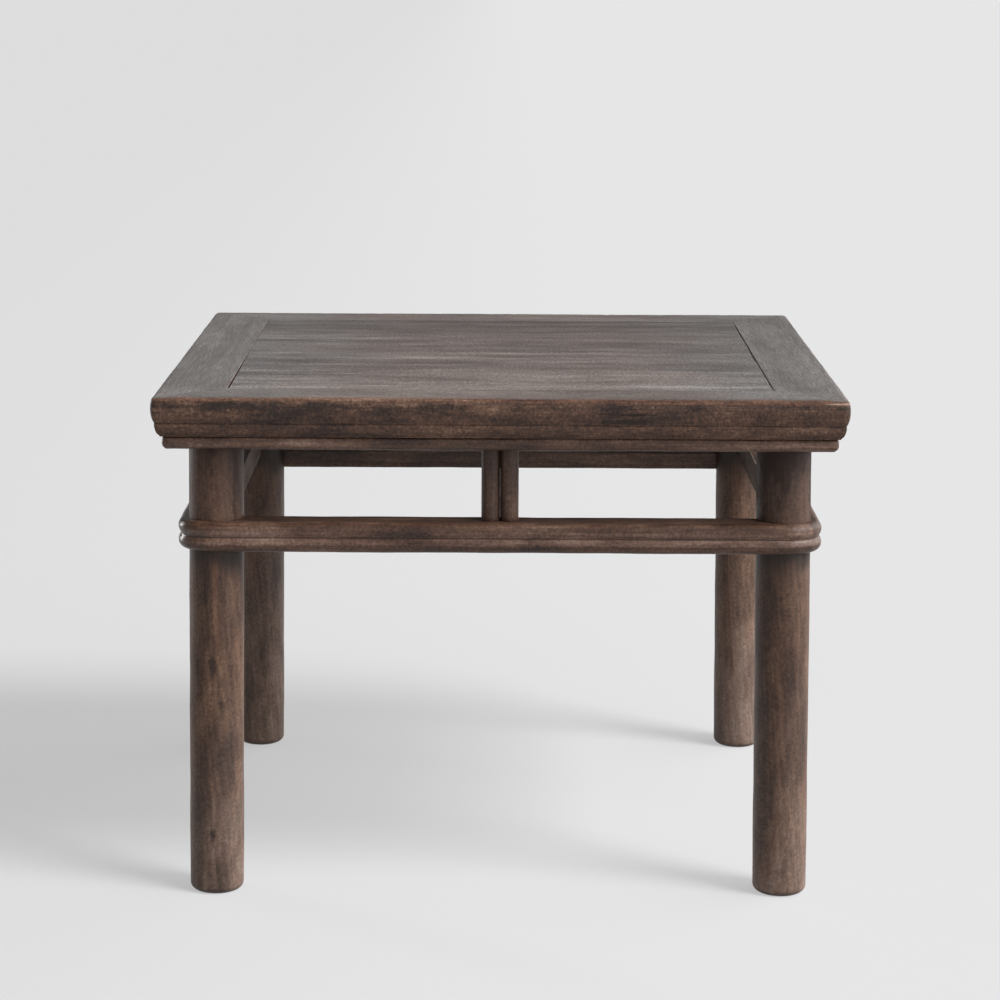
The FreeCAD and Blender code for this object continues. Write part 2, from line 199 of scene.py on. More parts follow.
# %% Node tree: grain and edge
along = add(run_tree, "ShaderNodeMath", {0: centred, 1: drawn_back}, operation="ADD")
heading = add(run_tree, "ShaderNodeSeparateXYZ", {"Vector": path_facts.outputs["Out"]}).outputs
ahead = add(run_tree, "ShaderNodeMath", {0: heading["Y"], 1: -1.0}, operation="MULTIPLY")
bent = add(run_tree, "ShaderNodeMath", {0: heading["X"], 1: ahead}, operation="ARCTAN2")
bent = add(run_tree, "ShaderNodeMath", {0: bent, 1: at_leg}, operation="MULTIPLY")
along = add(run_tree, "ShaderNodeMath", {0: bent, 1: section["X"], 2: along}, operation="MULTIPLY_ADD")
grain = add(run_tree, "ShaderNodeCombineXYZ", {"X": along, "Y": section["X"], "Z": section["Y"]})
exposure = add(run_tree, "ShaderNodeMath", {
    0: profile_facts.outputs["Exposure"], 1: 1.0,
}, operation="SUBTRACT")
kept = add(run_tree, "GeometryNodeStoreNamedAttribute", {
    "Geometry": wrapped, "Name": "grain", "Value": grain,
}, data_type="FLOAT_VECTOR")
kept = add(run_tree, "GeometryNodeStoreNamedAttribute", {"Geometry": kept, "Name": "edge", "Value": exposure})
turned = add(run_tree, "GeometryNodeTransform", {
    "Geometry": kept, "Rotation": add(run_tree, "ShaderNodeCombineXYZ", {"Z": given["Turn"]}),
})
real = add(run_tree, "GeometryNodeRealizeInstances", {"Geometry": turned})
real = add(run_tree, "GeometryNodeSetMaterial", {"Geometry": real, "Material": given["Material"]})
run_tree.links.new(real.outputs["Geometry"], result["Geometry"])
print("moulded_run:", len(run_tree.nodes), "nodes")

# %% [markdown]
# Nothing on this table is dead straight: it was planed and scraped by hand and then used for a
# century. A sculpted mesh would be hard to repeat, so a second tree moves each point a little along
# its normal: a slow wander of the surface, and small dents that only bite where an edge is exposed.
# Both follow the place in the table, so two pieces that meet on a mitre still meet after it. Every
# piece passes through this tree, so this is where it gets its tone, a number that shifts its figure.

# %% Node tree: a hand-worked surface
hand_tree, given, result = new_tree("hand_worked", [
    ("Geometry", "Geometry"), ("Wander", "Float"), ("Wander Size", "Float"), ("Dent", "Float"),
    ("Dent Size", "Float"), ("Tone", "Float"), ("Material", "Material"),
])
spot_at = add(hand_tree, "GeometryNodeInputPosition")
moves = {}
for label, detail, low, high, least in (("Wander", 2.0, 0.25, 0.75, -1.0), ("Dent", 3.0, 0.52, 0.78, 0.0)):
    scale = add(hand_tree, "ShaderNodeMath", {0: 1.0, 1: given[label + " Size"]}, operation="DIVIDE")
    noise = add(hand_tree, "ShaderNodeTexNoise", {"Vector": spot_at, "Scale": scale, "Detail": detail})
    noise = add(hand_tree, "ShaderNodeMapRange", {
        "Value": noise, "From Min": low, "From Max": high, "To Min": least,
    })
    moves[label] = add(hand_tree, "ShaderNodeMath", {0: noise, 1: given[label]}, operation="MULTIPLY")
exposed = add(hand_tree, "GeometryNodeInputNamedAttribute", {"Name": "edge"})
exposed = add(hand_tree, "ShaderNodeMath", {0: exposed, 1: 0.0}, operation="MAXIMUM")
dents = add(hand_tree, "ShaderNodeMath", {0: moves["Dent"], 1: exposed}, operation="MULTIPLY")
move = add(hand_tree, "ShaderNodeMath", {0: moves["Wander"], 1: dents}, operation="SUBTRACT")
move = add(hand_tree, "ShaderNodeVectorMath", {
    0: add(hand_tree, "GeometryNodeInputNormal"), "Scale": move,
}, operation="SCALE")
worked = add(hand_tree, "GeometryNodeSetPosition", {"Geometry": given["Geometry"], "Offset": move})
worked = add(hand_tree, "GeometryNodeStoreNamedAttribute", {
    "Geometry": worked, "Name": "tone", "Value": given["Tone"],
})
worked = add(hand_tree, "GeometryNodeSetShadeSmooth", {"Geometry": worked})
worked = add(hand_tree, "GeometryNodeRealizeInstances", {"Geometry": worked})
worked = add(hand_tree, "GeometryNodeSetMaterial", {"Geometry": worked, "Material": given["Material"]})
hand_tree.links.new(worked.outputs["Geometry"], result["Geometry"])
print("hand_worked:", len(hand_tree.nodes), "nodes")

# %% [markdown]
# A tree is only a recipe. To get a piece that stands on its own, its result is turned into a plain
# mesh: doubled points are merged, faces turned outward, and edges over 38 degrees kept sharp.

# %% From nodes to a plain mesh
MERGE_GAP = 0.002 * MM
SHARP_ANGLE = math.radians(38)


def set_inputs(modifier, values):
    for item in modifier.node_group.interface.items_tree:
        if item.in_out == "INPUT" and item.name in values:
            modifier[item.identifier] = values[item.name]


def frozen(host):
    """The evaluated mesh of an object, closed, facing outward, with the modifiers gone."""
    graph = bpy.context.evaluated_depsgraph_get()
    mesh = bpy.data.meshes.new_from_object(
        host.evaluated_get(graph), preserve_all_data_layers=True, depsgraph=graph)
    host.modifiers.clear()
    bm = bmesh.new()
    bm.from_mesh(mesh)
    bmesh.ops.remove_doubles(bm, verts=bm.verts, dist=MERGE_GAP)
    bmesh.ops.recalc_face_normals(bm, faces=bm.faces)
    bm.to_mesh(mesh)
    bm.free()
    mesh.set_sharp_from_angle(angle=SHARP_ANGLE)
    host.data = mesh
    return host


def hand_worked(host, **values):
    modifier = host.modifiers.new("hand_worked", "NODES")
    modifier.node_group = hand_tree
    set_inputs(modifier, values)
    return frozen(host)


print("conversion ready")

# %% [markdown]
# A run needs two guides, an open path and a closed profile. Both are plain curves that are deleted
# once the nodes have been turned into a mesh.

# %% A run from its guides
def placed(name, data):
    """A new object of the scene, at the origin."""
    made = bpy.data.objects.new(name, data)
    bpy.context.scene.collection.objects.link(made)
    return made


def guide(name, points, closed):
    curve = bpy.data.curves.new(name, "CURVE")
    curve.dimensions = "3D"
    spline = curve.splines.new("POLY")
    spline.points.add(len(points) - 1)
    for point, (x, y, z, radius) in zip(spline.points, points):
        point.co = (x, y, z, 1)
        point.radius = radius
    spline.use_cyclic_u = closed
    return placed(name, curve)


def moulded_run(name, path_points, section, half_length, mitre=0.0, core=-1.0, clear=10.0, turn=0, **surface):
    """Sweep a section, as (out, down, exposure) in metres, along (x, y, z, radius) points."""
    host = placed(name, bpy.data.meshes.new(name))
    path_guide = guide("path", path_points, closed=False)
    profile_guide = guide("profile", [(out, down, 0, 1 + bare) for out, down, bare in section], closed=True)
    modifier = host.modifiers.new("moulded_run", "NODES")
    modifier.node_group = run_tree
    set_inputs(modifier, {
        "Path": path_guide, "Profile": profile_guide, "Half Length": half_length,
        "Mitre": mitre, "Leg Core": core, "Clear Run": clear, "Turn": math.radians(turn),
        "Material": surface["Material"],
    })
    hand_worked(host, **surface)
    for made in (path_guide, profile_guide):
        curve = made.data
        bpy.data.objects.remove(made)
        bpy.data.curves.remove(curve)
    return host


print("guides ready")

# %% [markdown]
# Wear is a matter of where: near an edge, towards the floor, in the lee of a joint. So the finishes
# are built from layers of colour, each laid over the ones below wherever some values, such as the
# height above the floor, have passed from a start to an end. To keep a layer's rim from looking
# ruled, such a value is first shifted by parts of the wood's figure, which the next cells make.

# %% Layers of wear
def held(tree, *steps):
    """How far all steps hold at once. Each is a value, its start and end, and the most it can give."""
    share = None
    for value, start, end, *most in steps:
        step = add(tree, "ShaderNodeMapRange", {
            "Value": value, "From Min": start, "From Max": end, "To Max": most[0] if most else 1.0,
        }, interpolation_type="SMOOTHSTEP")
        share = add(tree, "ShaderNodeMath", {0: share, 1: step}, operation="MULTIPLY") if share else step
    return share


def layered(tree, colour, *layers):
    """Lays other colours over the first in turn, each as far as its steps hold."""
    for above, *steps in layers:
        colour = add(tree, "ShaderNodeMix", {
            "Factor": held(tree, *steps), "A": colour, "B": above,
        }, data_type="RGBA")
    return colour


def shifted(tree, part, value, **amounts):
    """A value pushed up and down by parts of the figure about their middle."""
    for label, amount in amounts.items():
        value = add(tree, "ShaderNodeMath", {
            0: getattr(part, label), 1: amount, 2: value,
        }, operation="MULTIPLY_ADD")
        value = add(tree, "ShaderNodeMath", {0: value, 1: amount / 2}, operation="SUBTRACT")
    return value


def apart(tree, value, level=0.0):
    """How far a value lies from a level, either way."""
    gap = add(tree, "ShaderNodeMath", {0: value, 1: level}, operation="SUBTRACT")
    return add(tree, "ShaderNodeMath", {0: gap}, operation="ABSOLUTE")


print("layers ready")

# %% [markdown]
# Old elm darkened with oil and lacquer. Its figure is drawn by where a point lies in its plank, so a
# material first asks for that: the grain attribute, which runs with the plank, and the place in the
# table, both in millimetres. A picture of wood would need neither, but it would repeat and slide.

# %% Places in the wood
def wood_places(tree):
    """Where a point lies in its plank and in the table, in millimetres, with its tone and exposure."""
    part = SimpleNamespace()
    grain = add(tree, "ShaderNodeAttribute", attribute_name="grain").outputs["Vector"]
    part.mm = add(tree, "ShaderNodeVectorMath", {0: grain, "Scale": 1 / MM}, operation="SCALE")
    part.along, part.across, part.down = add(tree, "ShaderNodeSeparateXYZ", {"Vector": part.mm}).outputs
    place = add(tree, "ShaderNodeTexCoord").outputs["Object"]
    part.where = add(tree, "ShaderNodeVectorMath", {0: place, "Scale": 1 / MM}, operation="SCALE")
    part.x, part.y, part.z = add(tree, "ShaderNodeSeparateXYZ", {"Vector": part.where}).outputs
    part.tone = add(tree, "ShaderNodeAttribute", attribute_name="tone").outputs["Fac"]
    part.edge = add(tree, "ShaderNodeAttribute", attribute_name="edge").outputs["Fac"]
    return part


print("places are scaled by", round(1 / MM))

# %% [markdown]
# Growth rings cut a planed face at a slant and so draw arches on it. They are cylinders about the
# heart of the trunk, drawn out along the grain and tilted a little. A wave texture gives such rings,
# and its distortion keeps them from looking turned.

# %% Growth rings
RING_MM = 4.2              # one year of growth
RING_STRETCH = 14          # rings are drawn out this much along the grain
WAVE_TURN = math.pi / 10   # the wave node turns once in this many units


def growth_rings(tree, part, tilt, heart, ring_mm):
    ring = WAVE_TURN / ring_mm
    laid = add(tree, "ShaderNodeMapping", {"Vector": part.mm, "Location": heart, "Rotation": tilt})
    laid = add(tree, "ShaderNodeVectorMath", {
        0: laid, 1: (ring / RING_STRETCH, ring, ring),
    }, operation="MULTIPLY")
    return add(tree, "ShaderNodeTexWave", {
        "Vector": laid, "Scale": 1.0, "Distortion": 7.0, "Detail": 2.0, "Detail Scale": 0.4,
        "Phase Offset": part.tone,
    }, wave_type="RINGS", rings_direction="X").outputs["Fac"]


print("rings of", RING_MM, "mm")

# %% [markdown]
# Long fibres, short dark pores, dust and stains are all noise, stretched along the grain by a length
# and a width in millimetres. In a leg, a small trunk of its own, the fibres also sway from side to
# side, so the places are pushed about by a slower noise before the others are drawn.

# %% Figure of the elm
SWAY_MM = (120, 50, 50)    # one sway of the fibres, along and across
FIGURE_MM = {              # length along the grain and width across it
    "fibre": (34, 1.3),    # real fibres are finer, drawn this coarse to show
    "pore": (12, 0.9),     # real pores are about 0.3 mm wide, drawn this coarse to show
    "speck": (2.6, 2.6),   # dust and broken pores
    "streak": (240, 11),   # bands of a few fibres
    "cloud": (150, 48),    # slow changes of colour
    "stain": (42, 13),     # old drips and soot
}


def elm_figure(tree, tilt, heart, coarse=1.0, ring_mm=RING_MM, sway_mm=0.0):
    """Adds the figure to a material and returns its parts and places by name."""
    part = wood_places(tree)
    part.rings = growth_rings(tree, part, tilt, heart, ring_mm)
    sway = add(tree, "ShaderNodeVectorMath", {
        0: part.mm, 1: [1 / size for size in SWAY_MM],
    }, operation="MULTIPLY")
    sway = add(tree, "ShaderNodeTexNoise", {
        "Vector": sway, "W": part.tone, "Scale": 1.0,
    }, noise_dimensions="4D")
    swayed = add(tree, "ShaderNodeVectorMath", {
        0: sway.outputs["Color"], 1: (0, sway_mm, sway_mm), 2: part.mm,
    }, operation="MULTIPLY_ADD")
    for label, (length, width) in FIGURE_MM.items():
        larger = 1.0 if label == "speck" else coarse
        scaled = add(tree, "ShaderNodeVectorMath", {
            0: swayed, 1: [1 / size / larger for size in (length, width, width)],
        }, operation="MULTIPLY")
        noise = add(tree, "ShaderNodeTexNoise", {
            "Vector": scaled, "W": part.tone, "Scale": 1.0, "Detail": 4.0, "Roughness": 0.62,
        }, noise_dimensions="4D")
        setattr(part, label, add(tree, "ShaderNodeMapRange", {
            "Value": noise, "From Min": 0.3, "From Max": 0.7,
        }, clamp=False))
    part.pore = held(tree, (part.pore, 0.7, 1.05))
    return part


print("figure:", ", ".join(FIGURE_MM))

# %% [markdown]
# Each finish is a material of its own, which ends in one shader. Wood is no metal and has an index of
# refraction of about 1.5, so only its colour, its roughness and its fine relief change over the face.

# %% From figure to finish
def new_finish(name):
    material = bpy.data.materials.new(name)
    material.use_nodes = True
    material.node_tree.nodes.clear()
    return material, material.node_tree


def shade(tree, colour, roughness, specular, *heights):
    """Ends a finish in one shader, with relief from (height, millimetres) pairs."""
    sockets = {"Base Color": colour, "Roughness": roughness, "IOR": 1.5, "Specular IOR Level": specular}
    for height, depth in heights:
        bump = {"Height": height, "Distance": depth * MM}
        if "Normal" in sockets:
            bump["Normal"] = sockets["Normal"]
        sockets["Normal"] = add(tree, "ShaderNodeBump", bump)
    add(tree, "ShaderNodeOutputMaterial", {"Surface": add(tree, "ShaderNodeBsdfPrincipled", sockets)})


print("shading ready")

# %% [markdown]
# The top is the most used surface: its lacquer has gone, and what is left is dry, greyish brown wood.
# Towards the left and right it is greyer: partly dust, and partly a painted sheen of the pale room
# seen at a low angle. Panel and frame share this face, so it is a function that takes how pale the
# wood is and gives its colour.

# %% Dry wood under dust
DRY_TOP = ((0.0, "#38302E"), (0.3, "#564D4A"), (0.5, "#685E5A"), (0.7, "#7B706B"), (1.0, "#A3978F"))
# greyer wood: dust, and a painted sheen of the pale room at a low angle
DUST_AND_SHEEN = ((0.0, "#383432"), (0.3, "#575351"), (0.5, "#6A6664"), (0.7, "#7D7977"), (1.0, "#A39F9D"))


def dry_face(tree, part, value):
    """Dry top wood by value, greyer towards the left and right of the table: dust and a painted sheen."""
    side = shifted(tree, part, apart(tree, part.x), cloud=160.0)
    dry = add(tree, "ShaderNodeValToRGB", {0: value}, stops=DRY_TOP)
    dust_and_sheen = add(tree, "ShaderNodeValToRGB", {0: value}, stops=DUST_AND_SHEEN)
    # towards the sides: dust, and painted sheen
    return layered(tree, dry, (dust_and_sheen, (side, 100.0, 280.0, 0.9)))


print("dry wood from", DRY_TOP[0][1], "to", DRY_TOP[-1][1])

# %% [markdown]
# The panel has paler streaks along the grain, where hands and cups have rubbed it. Its broad bands are
# laid by their distance from the front edge, darker at the back, with one rubbed spot, an oval, left
# of the middle. The rest is left to noise.

# %% Finish: weathered elm, panel
BANDS = (              # from the front of the panel to the back, how pale
    (0.05, 0.68), (0.12, 0.66), (0.2, 0.53), (0.35, 0.44), (0.43, 0.57), (0.52, 0.48),
    (0.62, 0.47), (0.71, 0.54), (0.8, 0.43), (0.9, 0.36), (1.0, 0.35),
)


def oval(tree, where, centre, reach):
    """Distance from the centre of an oval spot, 1 at its rim."""
    spot = add(tree, "ShaderNodeMapping", {
        "Vector": where, "Location": [-c / r for c, r in zip(centre, reach)], "Scale": [1 / r for r in reach],
    })
    return add(tree, "ShaderNodeVectorMath", {0: spot}, operation="LENGTH").outputs["Value"]


def weathered_panel():
    # Elm planed, lacquered, and rubbed dry again: greyish, streaky, with a dull sheen at a low angle
    material, tree = new_finish("weathered_elm_panel")
    part = elm_figure(tree, tilt=(0, 0.05, 0.03), heart=(0, 40, 60), coarse=2.0)
    from_front = shifted(tree, part, part.across, cloud=70.0)
    from_front = add(tree, "ShaderNodeMapRange", {"Value": from_front, "From Min": -265.0, "From Max": 265.0})
    bands = add(tree, "ShaderNodeValToRGB", {0: from_front}, stops=BANDS)
    value = shifted(tree, part, bands, rings=0.04, fibre=0.3, streak=0.4, stain=0.3, speck=0.8)
    spot = oval(tree, part.mm, (-71, -40, 0), (66, 19, 999))
    spot = shifted(tree, part, spot, streak=0.8, fibre=0.8, speck=0.6)
    value = add(tree, "ShaderNodeMath", {0: value, 1: held(tree, (spot, 1.3, 0.1, 0.26))}, operation="ADD")
    colour = layered(tree, dry_face(tree, part, value), ("#2A211D", (part.pore, 0.0, 1.0, 0.5)))
    roughness = add(tree, "ShaderNodeMapRange", {"Value": part.streak, "To Min": 0.45, "To Max": 0.62})
    shade(tree, colour, roughness, 0.4, (part.fibre, 0.25), (part.speck, 0.15))
    return material


panel_finish = weathered_panel()
print("panel finish:", len(panel_finish.node_tree.nodes), "nodes")

# %% [markdown]
# The frame has the same dry top face, a little paler, and most of all along the front. A finish of its
# own could drift away from the panel's, so the frame only shifts how pale the shared face is.

# %% Frame: its top face
FRONT_MM = (-240.0, -290.0)             # where the side rails give way to the front rail


def frame_top(tree, part, figured):
    paler = add(tree, "ShaderNodeMapRange", {
        "Value": held(tree, (part.y, *FRONT_MM)), "To Min": 0.05, "To Max": 0.13,
    })
    paler = add(tree, "ShaderNodeMath", {0: figured, 1: paler}, operation="ADD")
    return dry_face(tree, part, shifted(tree, part, paler, cloud=0.3))


print("front rail beyond", FRONT_MM[0], "mm")

# %% [markdown]
# The frame's moulded edge still holds dark lacquer, black where dirt has gathered. Between it and the
# top the arris has been rubbed down to warm bare wood, and along the front so has a narrow rim of the
# top. Three materials would need seams, so one does it all: how far a point lies below the top says
# which layer shows.

# %% Frame: layers below the top
LACQUER = ((0.0, "#120B08"), (0.3, "#382720"), (0.5, "#4C362B"), (0.7, "#5E4537"), (1.0, "#846957"))
BARE = ((0.0, "#2E1C15"), (0.35, "#5A3D2F"), (0.6, "#73523F"), (1.0, "#A8866F"))
# soot; on the legs the same colour is laid as painted shade just below the stretchers
SOOT_AND_SHADE = "#140E0B"
SOOT_LEVEL = 8.0                        # below the top, where soot lies thickest


def frame_layers(tree, part):
    figured = shifted(tree, part, 0.5, rings=0.06, fibre=0.25, streak=0.2, speck=0.6)
    top = frame_top(tree, part, figured)
    value = shifted(tree, part, figured, cloud=0.5, stain=0.5)
    bare = add(tree, "ShaderNodeValToRGB", {0: value}, stops=BARE)
    lacquer = add(tree, "ShaderNodeValToRGB", {0: value}, stops=LACQUER)
    rim = shifted(tree, part, part.across, cloud=10.0, stain=6.0)
    from_end = apart(tree, part.x)
    arris = shifted(tree, part, part.down, fibre=0.4)
    rubbed = shifted(tree, part, part.down, streak=4.0, stain=5.0, cloud=6.0)
    sooty = shifted(tree, part, apart(tree, part.down, SOOT_LEVEL), stain=14.0, cloud=12.0, speck=4.0)
    sooty = add(tree, "ShaderNodeMath", {
        0: held(tree, (part.along, -250.0, 150.0)), 1: 8.0, 2: sooty,
    }, operation="MULTIPLY_ADD")
    return layered(
        tree, top,
        (bare, (rim, -17.0, -5.0, 0.7), (part.y, *FRONT_MM), (from_end, 324.0, 306.0)),
        (bare, (arris, 0.2, 1.0)),
        (lacquer, (rubbed, 0.8, 3.4), (part.down, 0.8, 2.2)),
        (SOOT_AND_SHADE, (sooty, 8.0, 0.0, 0.65), (part.down, 2.0, 4.0)),
    )


print("soot lies thickest", SOOT_LEVEL, "mm down")

# %% [markdown]
# At the right of the front edge a splinter is lost, which leaves a dark hollow with a pale rim. Dirt
# lies in the incised line, and in a hairline along each mitre, where a point lies as far in from the
# edge as it lies from the end.

# %% Finish: weathered elm, frame
CHIPS_MM = (           # the lost splinter: place, reach, colour and strength of its hollow and its rim
    ((324, -329, 488), (10, 9, 2.2), "#1A1411", 0.7), ((320, -327, 492), (14, 9, 0.9), "#C4A793", 0.6),
)
LINE_LEVEL = 25.2                       # the incised line, below the top
MITRE_LEVEL = -half_top / MM            # across less along, on the mitre


def weathered_frame():
    # Elm with its lacquer worn through in steps: grey on top, warm on the arris, satin dark on the edge
    material, tree = new_finish("weathered_elm_frame")
    part = elm_figure(tree, tilt=(0, 0.11, 0.04), heart=(60, 40, 30), ring_mm=6.5)
    colour = frame_layers(tree, part)
    for centre, reach, tint, most in CHIPS_MM:
        chip = shifted(tree, part, oval(tree, part.where, centre, reach), stain=0.5, fibre=0.4)
        colour = layered(tree, colour, (tint, (chip, 1.2, 0.5, most)))
    from_line = apart(tree, part.down, LINE_LEVEL)
    run = apart(tree, part.along)
    from_mitre = add(tree, "ShaderNodeMath", {0: part.across, 1: run}, operation="SUBTRACT")
    colour = layered(
        tree, colour,
        (SOOT_AND_SHADE, (from_line, 1.6, 0.2, 0.15)),
        ("#1E1613", (part.pore, 0.0, 1.0, 0.45)),
        (SOOT_AND_SHADE, (from_mitre, MITRE_LEVEL + 0.9, MITRE_LEVEL + 0.2, 0.6)),
    )
    roughness = add(tree, "ShaderNodeMapRange", {"Value": part.streak, "To Min": 0.42, "To Max": 0.62})
    shade(tree, colour, roughness, 0.35, (part.fibre, 0.2), (part.speck, 0.12))
    return material


frame_finish = weathered_frame()
print("frame finish:", len(frame_finish.node_tree.nodes), "nodes")

# %% [markdown]
# The strips, stretchers and struts keep most of their lacquer, a satin dark brown with reddish wood
# showing on the crests of the beads, where a sleeve or a foot rubs past. At the left end, which has
# been handled most, the lacquer is polished. Inside, the stretchers were never lacquered: dry wood,
# pale in the middle of the run and darkened towards the legs by painted shade of the corners.

# %% Finish: lacquered elm
REDDISH = ((0.0, "#2D1B15"), (0.35, "#584136"), (0.6, "#71584C"), (1.0, "#9B8276"))
# raw inside wood, pale to dark; the dark end is painted shade near the legs
RAW_INSIDE_SHADED = ((0.0, "#93837A"), (0.35, "#75665D"), (0.65, "#3F342E"), (1.0, "#241B17"))


def lacquered_moulding():
    # Elm scraped to a bead and lacquered: dark in the hollows, red on the crests, soft long highlights
    material, tree = new_finish("lacquered_elm_moulding")
    part = elm_figure(tree, tilt=(0, 0.02, 0.03), heart=(0, 18, 22))
    value = shifted(tree, part, 0.5, rings=0.05, fibre=0.18, streak=0.3, cloud=0.4, stain=0.45, speck=0.45)
    lacquer = add(tree, "ShaderNodeValToRGB", {0: value}, stops=LACQUER)
    reddish = add(tree, "ShaderNodeValToRGB", {0: value}, stops=REDDISH)
    rubbed = shifted(tree, part, part.edge, cloud=0.9, streak=0.9)
    # painted shade: the raw inside darkens towards the legs, where the corners lie in shadow
    shade_to_leg = add(tree, "ShaderNodeMapRange", {
        "Value": apart(tree, part.along), "From Min": 60.0, "From Max": 200.0,
        "To Min": 0.35, "To Max": 0.65,
    }, interpolation_type="SMOOTHSTEP")
    shade_to_leg = shifted(tree, part, shade_to_leg, fibre=0.25, streak=0.3, stain=0.2, speck=0.3)
    inside_shaded = add(tree, "ShaderNodeValToRGB", {0: shade_to_leg}, stops=RAW_INSIDE_SHADED)
    raw = held(tree, (part.edge, -0.5, -0.9))
    colour = layered(
        tree, lacquer,
        (reddish, (rubbed, 0.1, 0.9, 0.8)),
        (SOOT_AND_SHADE, (part.stain, 0.62, 1.05, 0.6)),
        ("#1F100B", (part.edge, 0.0, -0.4, 0.42)),
        ("#1A1310", (part.pore, 0.0, 1.0, 0.25)),
        (inside_shaded, (raw, 0.0, 1.0, 0.8)),
    )
    roughness = add(tree, "ShaderNodeMapRange", {"Value": part.cloud, "To Min": 0.34, "To Max": 0.54})
    polish = held(tree, (part.x, -220.0, -300.0, 0.16))
    roughness = add(tree, "ShaderNodeMath", {0: roughness, 1: polish}, operation="SUBTRACT")
    roughness = add(tree, "ShaderNodeMath", {0: roughness, 1: raw}, operation="MAXIMUM")
    shade(tree, colour, roughness, 0.36, (part.fibre, 0.08), (part.speck, 0.04))
    return material


moulding_finish = lacquered_moulding()
print("moulding finish:", len(moulding_finish.node_tree.nodes), "nodes")

# %% [markdown]
# The legs are worn through in long drips and patches: brown wood, dark where the lacquer stays near
# the top, and greyer and paler towards the feet, where mops and damp floors have bleached them. On a
# leg the attribute edge says how sooty its head is. Painted shade darkens a narrow band just under the
# rails and another just below the stretchers.

# %% Legs: layers by height
BROWN = ((0.0, "#1B110C"), (0.3, "#412E25"), (0.5, "#5A4335"), (0.7, "#745A49"), (1.0, "#A08573"))
BLEACHED = ((0.0, "#2B201A"), (0.3, "#54433A"), (0.5, "#6C584D"), (0.7, "#857166"), (1.0, "#B3A299"))
# grime on the leg heads; the same colour is laid as painted shade just under the rails
GRIME_AND_SHADE = "#22130E"
GRIME_MM = (390.0, 480.0)              # from the first grime on a leg to the thickest, under the rails


def leg_layers(tree, part, high):
    value = shifted(tree, part, 0.48, rings=0.06, fibre=0.08, streak=0.3, cloud=0.4, stain=0.45, speck=0.3)
    brown, bleached, lacquer = [
        add(tree, "ShaderNodeValToRGB", {0: value}, stops=stops) for stops in (BROWN, BLEACHED, LACQUER)]
    height = shifted(tree, part, part.along, cloud=190.0, streak=90.0)
    faded = add(tree, "ShaderNodeMath", {
        0: height, 1: held(tree, (part.y, 0.0, 200.0, 90.0)),
    }, operation="SUBTRACT")
    # painted shade on each leg just below the stretchers, darkest right under them
    shade_below_stretchers = shifted(tree, part, part.along, stain=34.0, speck=12.0)
    return layered(
        tree, brown,
        (bleached, (faded, 200.0, 0.0, 0.9)),
        ("#664336", (part.streak, 0.55, 1.1, 0.35)),
        (lacquer, (height, 290.0, 430.0, 0.9)),
        (SOOT_AND_SHADE, (part.stain, 0.62, 1.05, 0.55)),
        (GRIME_AND_SHADE, (high, *GRIME_MM, 0.85)),
        # painted shade in a narrow band just under the rails
        (GRIME_AND_SHADE, (part.along, 425.0, 455.0, 0.5)),
        # painted shade just below the stretchers
        (SOOT_AND_SHADE, (shade_below_stretchers, 318.0, 340.0, 0.75), (part.along, 372.0, 362.0)),
    )


print("grime from", GRIME_MM[0], "mm up")

# %% [markdown]
# Here and there a small branch was cut off, which leaves a dark knot. Noise would put knots anywhere,
# so each is an oval, listed one by one. Last, the end grain of the foot has drawn in dirt from the floor.

# %% Finish: worn elm, legs
KNOTS_MM = (           # place in the table, half width, half height, darkness
    ((-278, -303, 61), 4.5, 8, 0.8), ((-277, -303, 229), 5, 13, 0.75), ((-268, -302, 190), 4, 6, 0.5),
    ((-285, -301, 296), 4, 9, 0.45), ((286, -301, 286), 2.5, 13, 0.5), ((275, -306, 26), 9, 5, 0.35),
    ((280, 265, 120), 5, 9, 0.6), ((-270, 303, 150), 5, 8, 0.6),
)
KNOT_DEPTH = 12.0


def worn_leg():
    # Elm planed round by eye, its lacquer half gone: drips of brown and grey, dull below, grimy above,
    # with painted shade under the rails and the stretchers
    material, tree = new_finish("worn_elm_leg")
    part = elm_figure(tree, tilt=(0, 0.03, 0.06), heart=(0, 9, 14), coarse=1.4, sway_mm=34.0)
    high = shifted(tree, part, part.along, stain=190.0, cloud=90.0, edge=160.0)
    colour = leg_layers(tree, part, high)
    for centre, wide, tall, dark in KNOTS_MM:
        knot = oval(tree, part.where, centre, (wide, KNOT_DEPTH, tall))
        knot = shifted(tree, part, knot, stain=0.5, fibre=0.4, speck=0.5)
        colour = layered(tree, colour, ("#1C120D", (knot, 1.3, 0.3, dark)))
    colour = layered(
        tree, colour,
        ("#1A120E", (part.pore, 0.0, 1.0, 0.25)),
        ("#231A15", (part.along, 7.0, 1.0, 0.7)),
    )
    roughness = add(tree, "ShaderNodeMapRange", {"Value": part.cloud, "To Min": 0.42, "To Max": 0.6})
    roughness = add(tree, "ShaderNodeMath", {
        0: roughness, 1: held(tree, (high, *GRIME_MM, 0.2125)),
    }, operation="ADD")
    shade(tree, colour, roughness, 0.32, (part.fibre, 0.05), (part.speck, 0.05))
    return material


leg_finish = worn_leg()
print("leg finish:", len(leg_finish.node_tree.nodes), "nodes")

# %% [markdown]
# Under the top nothing was ever lacquered. The battens are raw, dusty elm, with dark end grain, and
# the pins that hold the strips are split bamboo, which hardly shows at all. The pins need no more than
# a finish, so their solid is kept and only given its material.

# %% Finishes: raw elm and bamboo
RAW_FACE = ((0.1, "#2B211C"), (0.5, "#54453B"), (0.9, "#7F6D60"))
SPLIT_CANE = ((0.3, "#8A6E43"), (0.7, "#B79B68"))
STRAND_MM = (0.8, 0.8, 20)   # real strands are finer, drawn this coarse to show


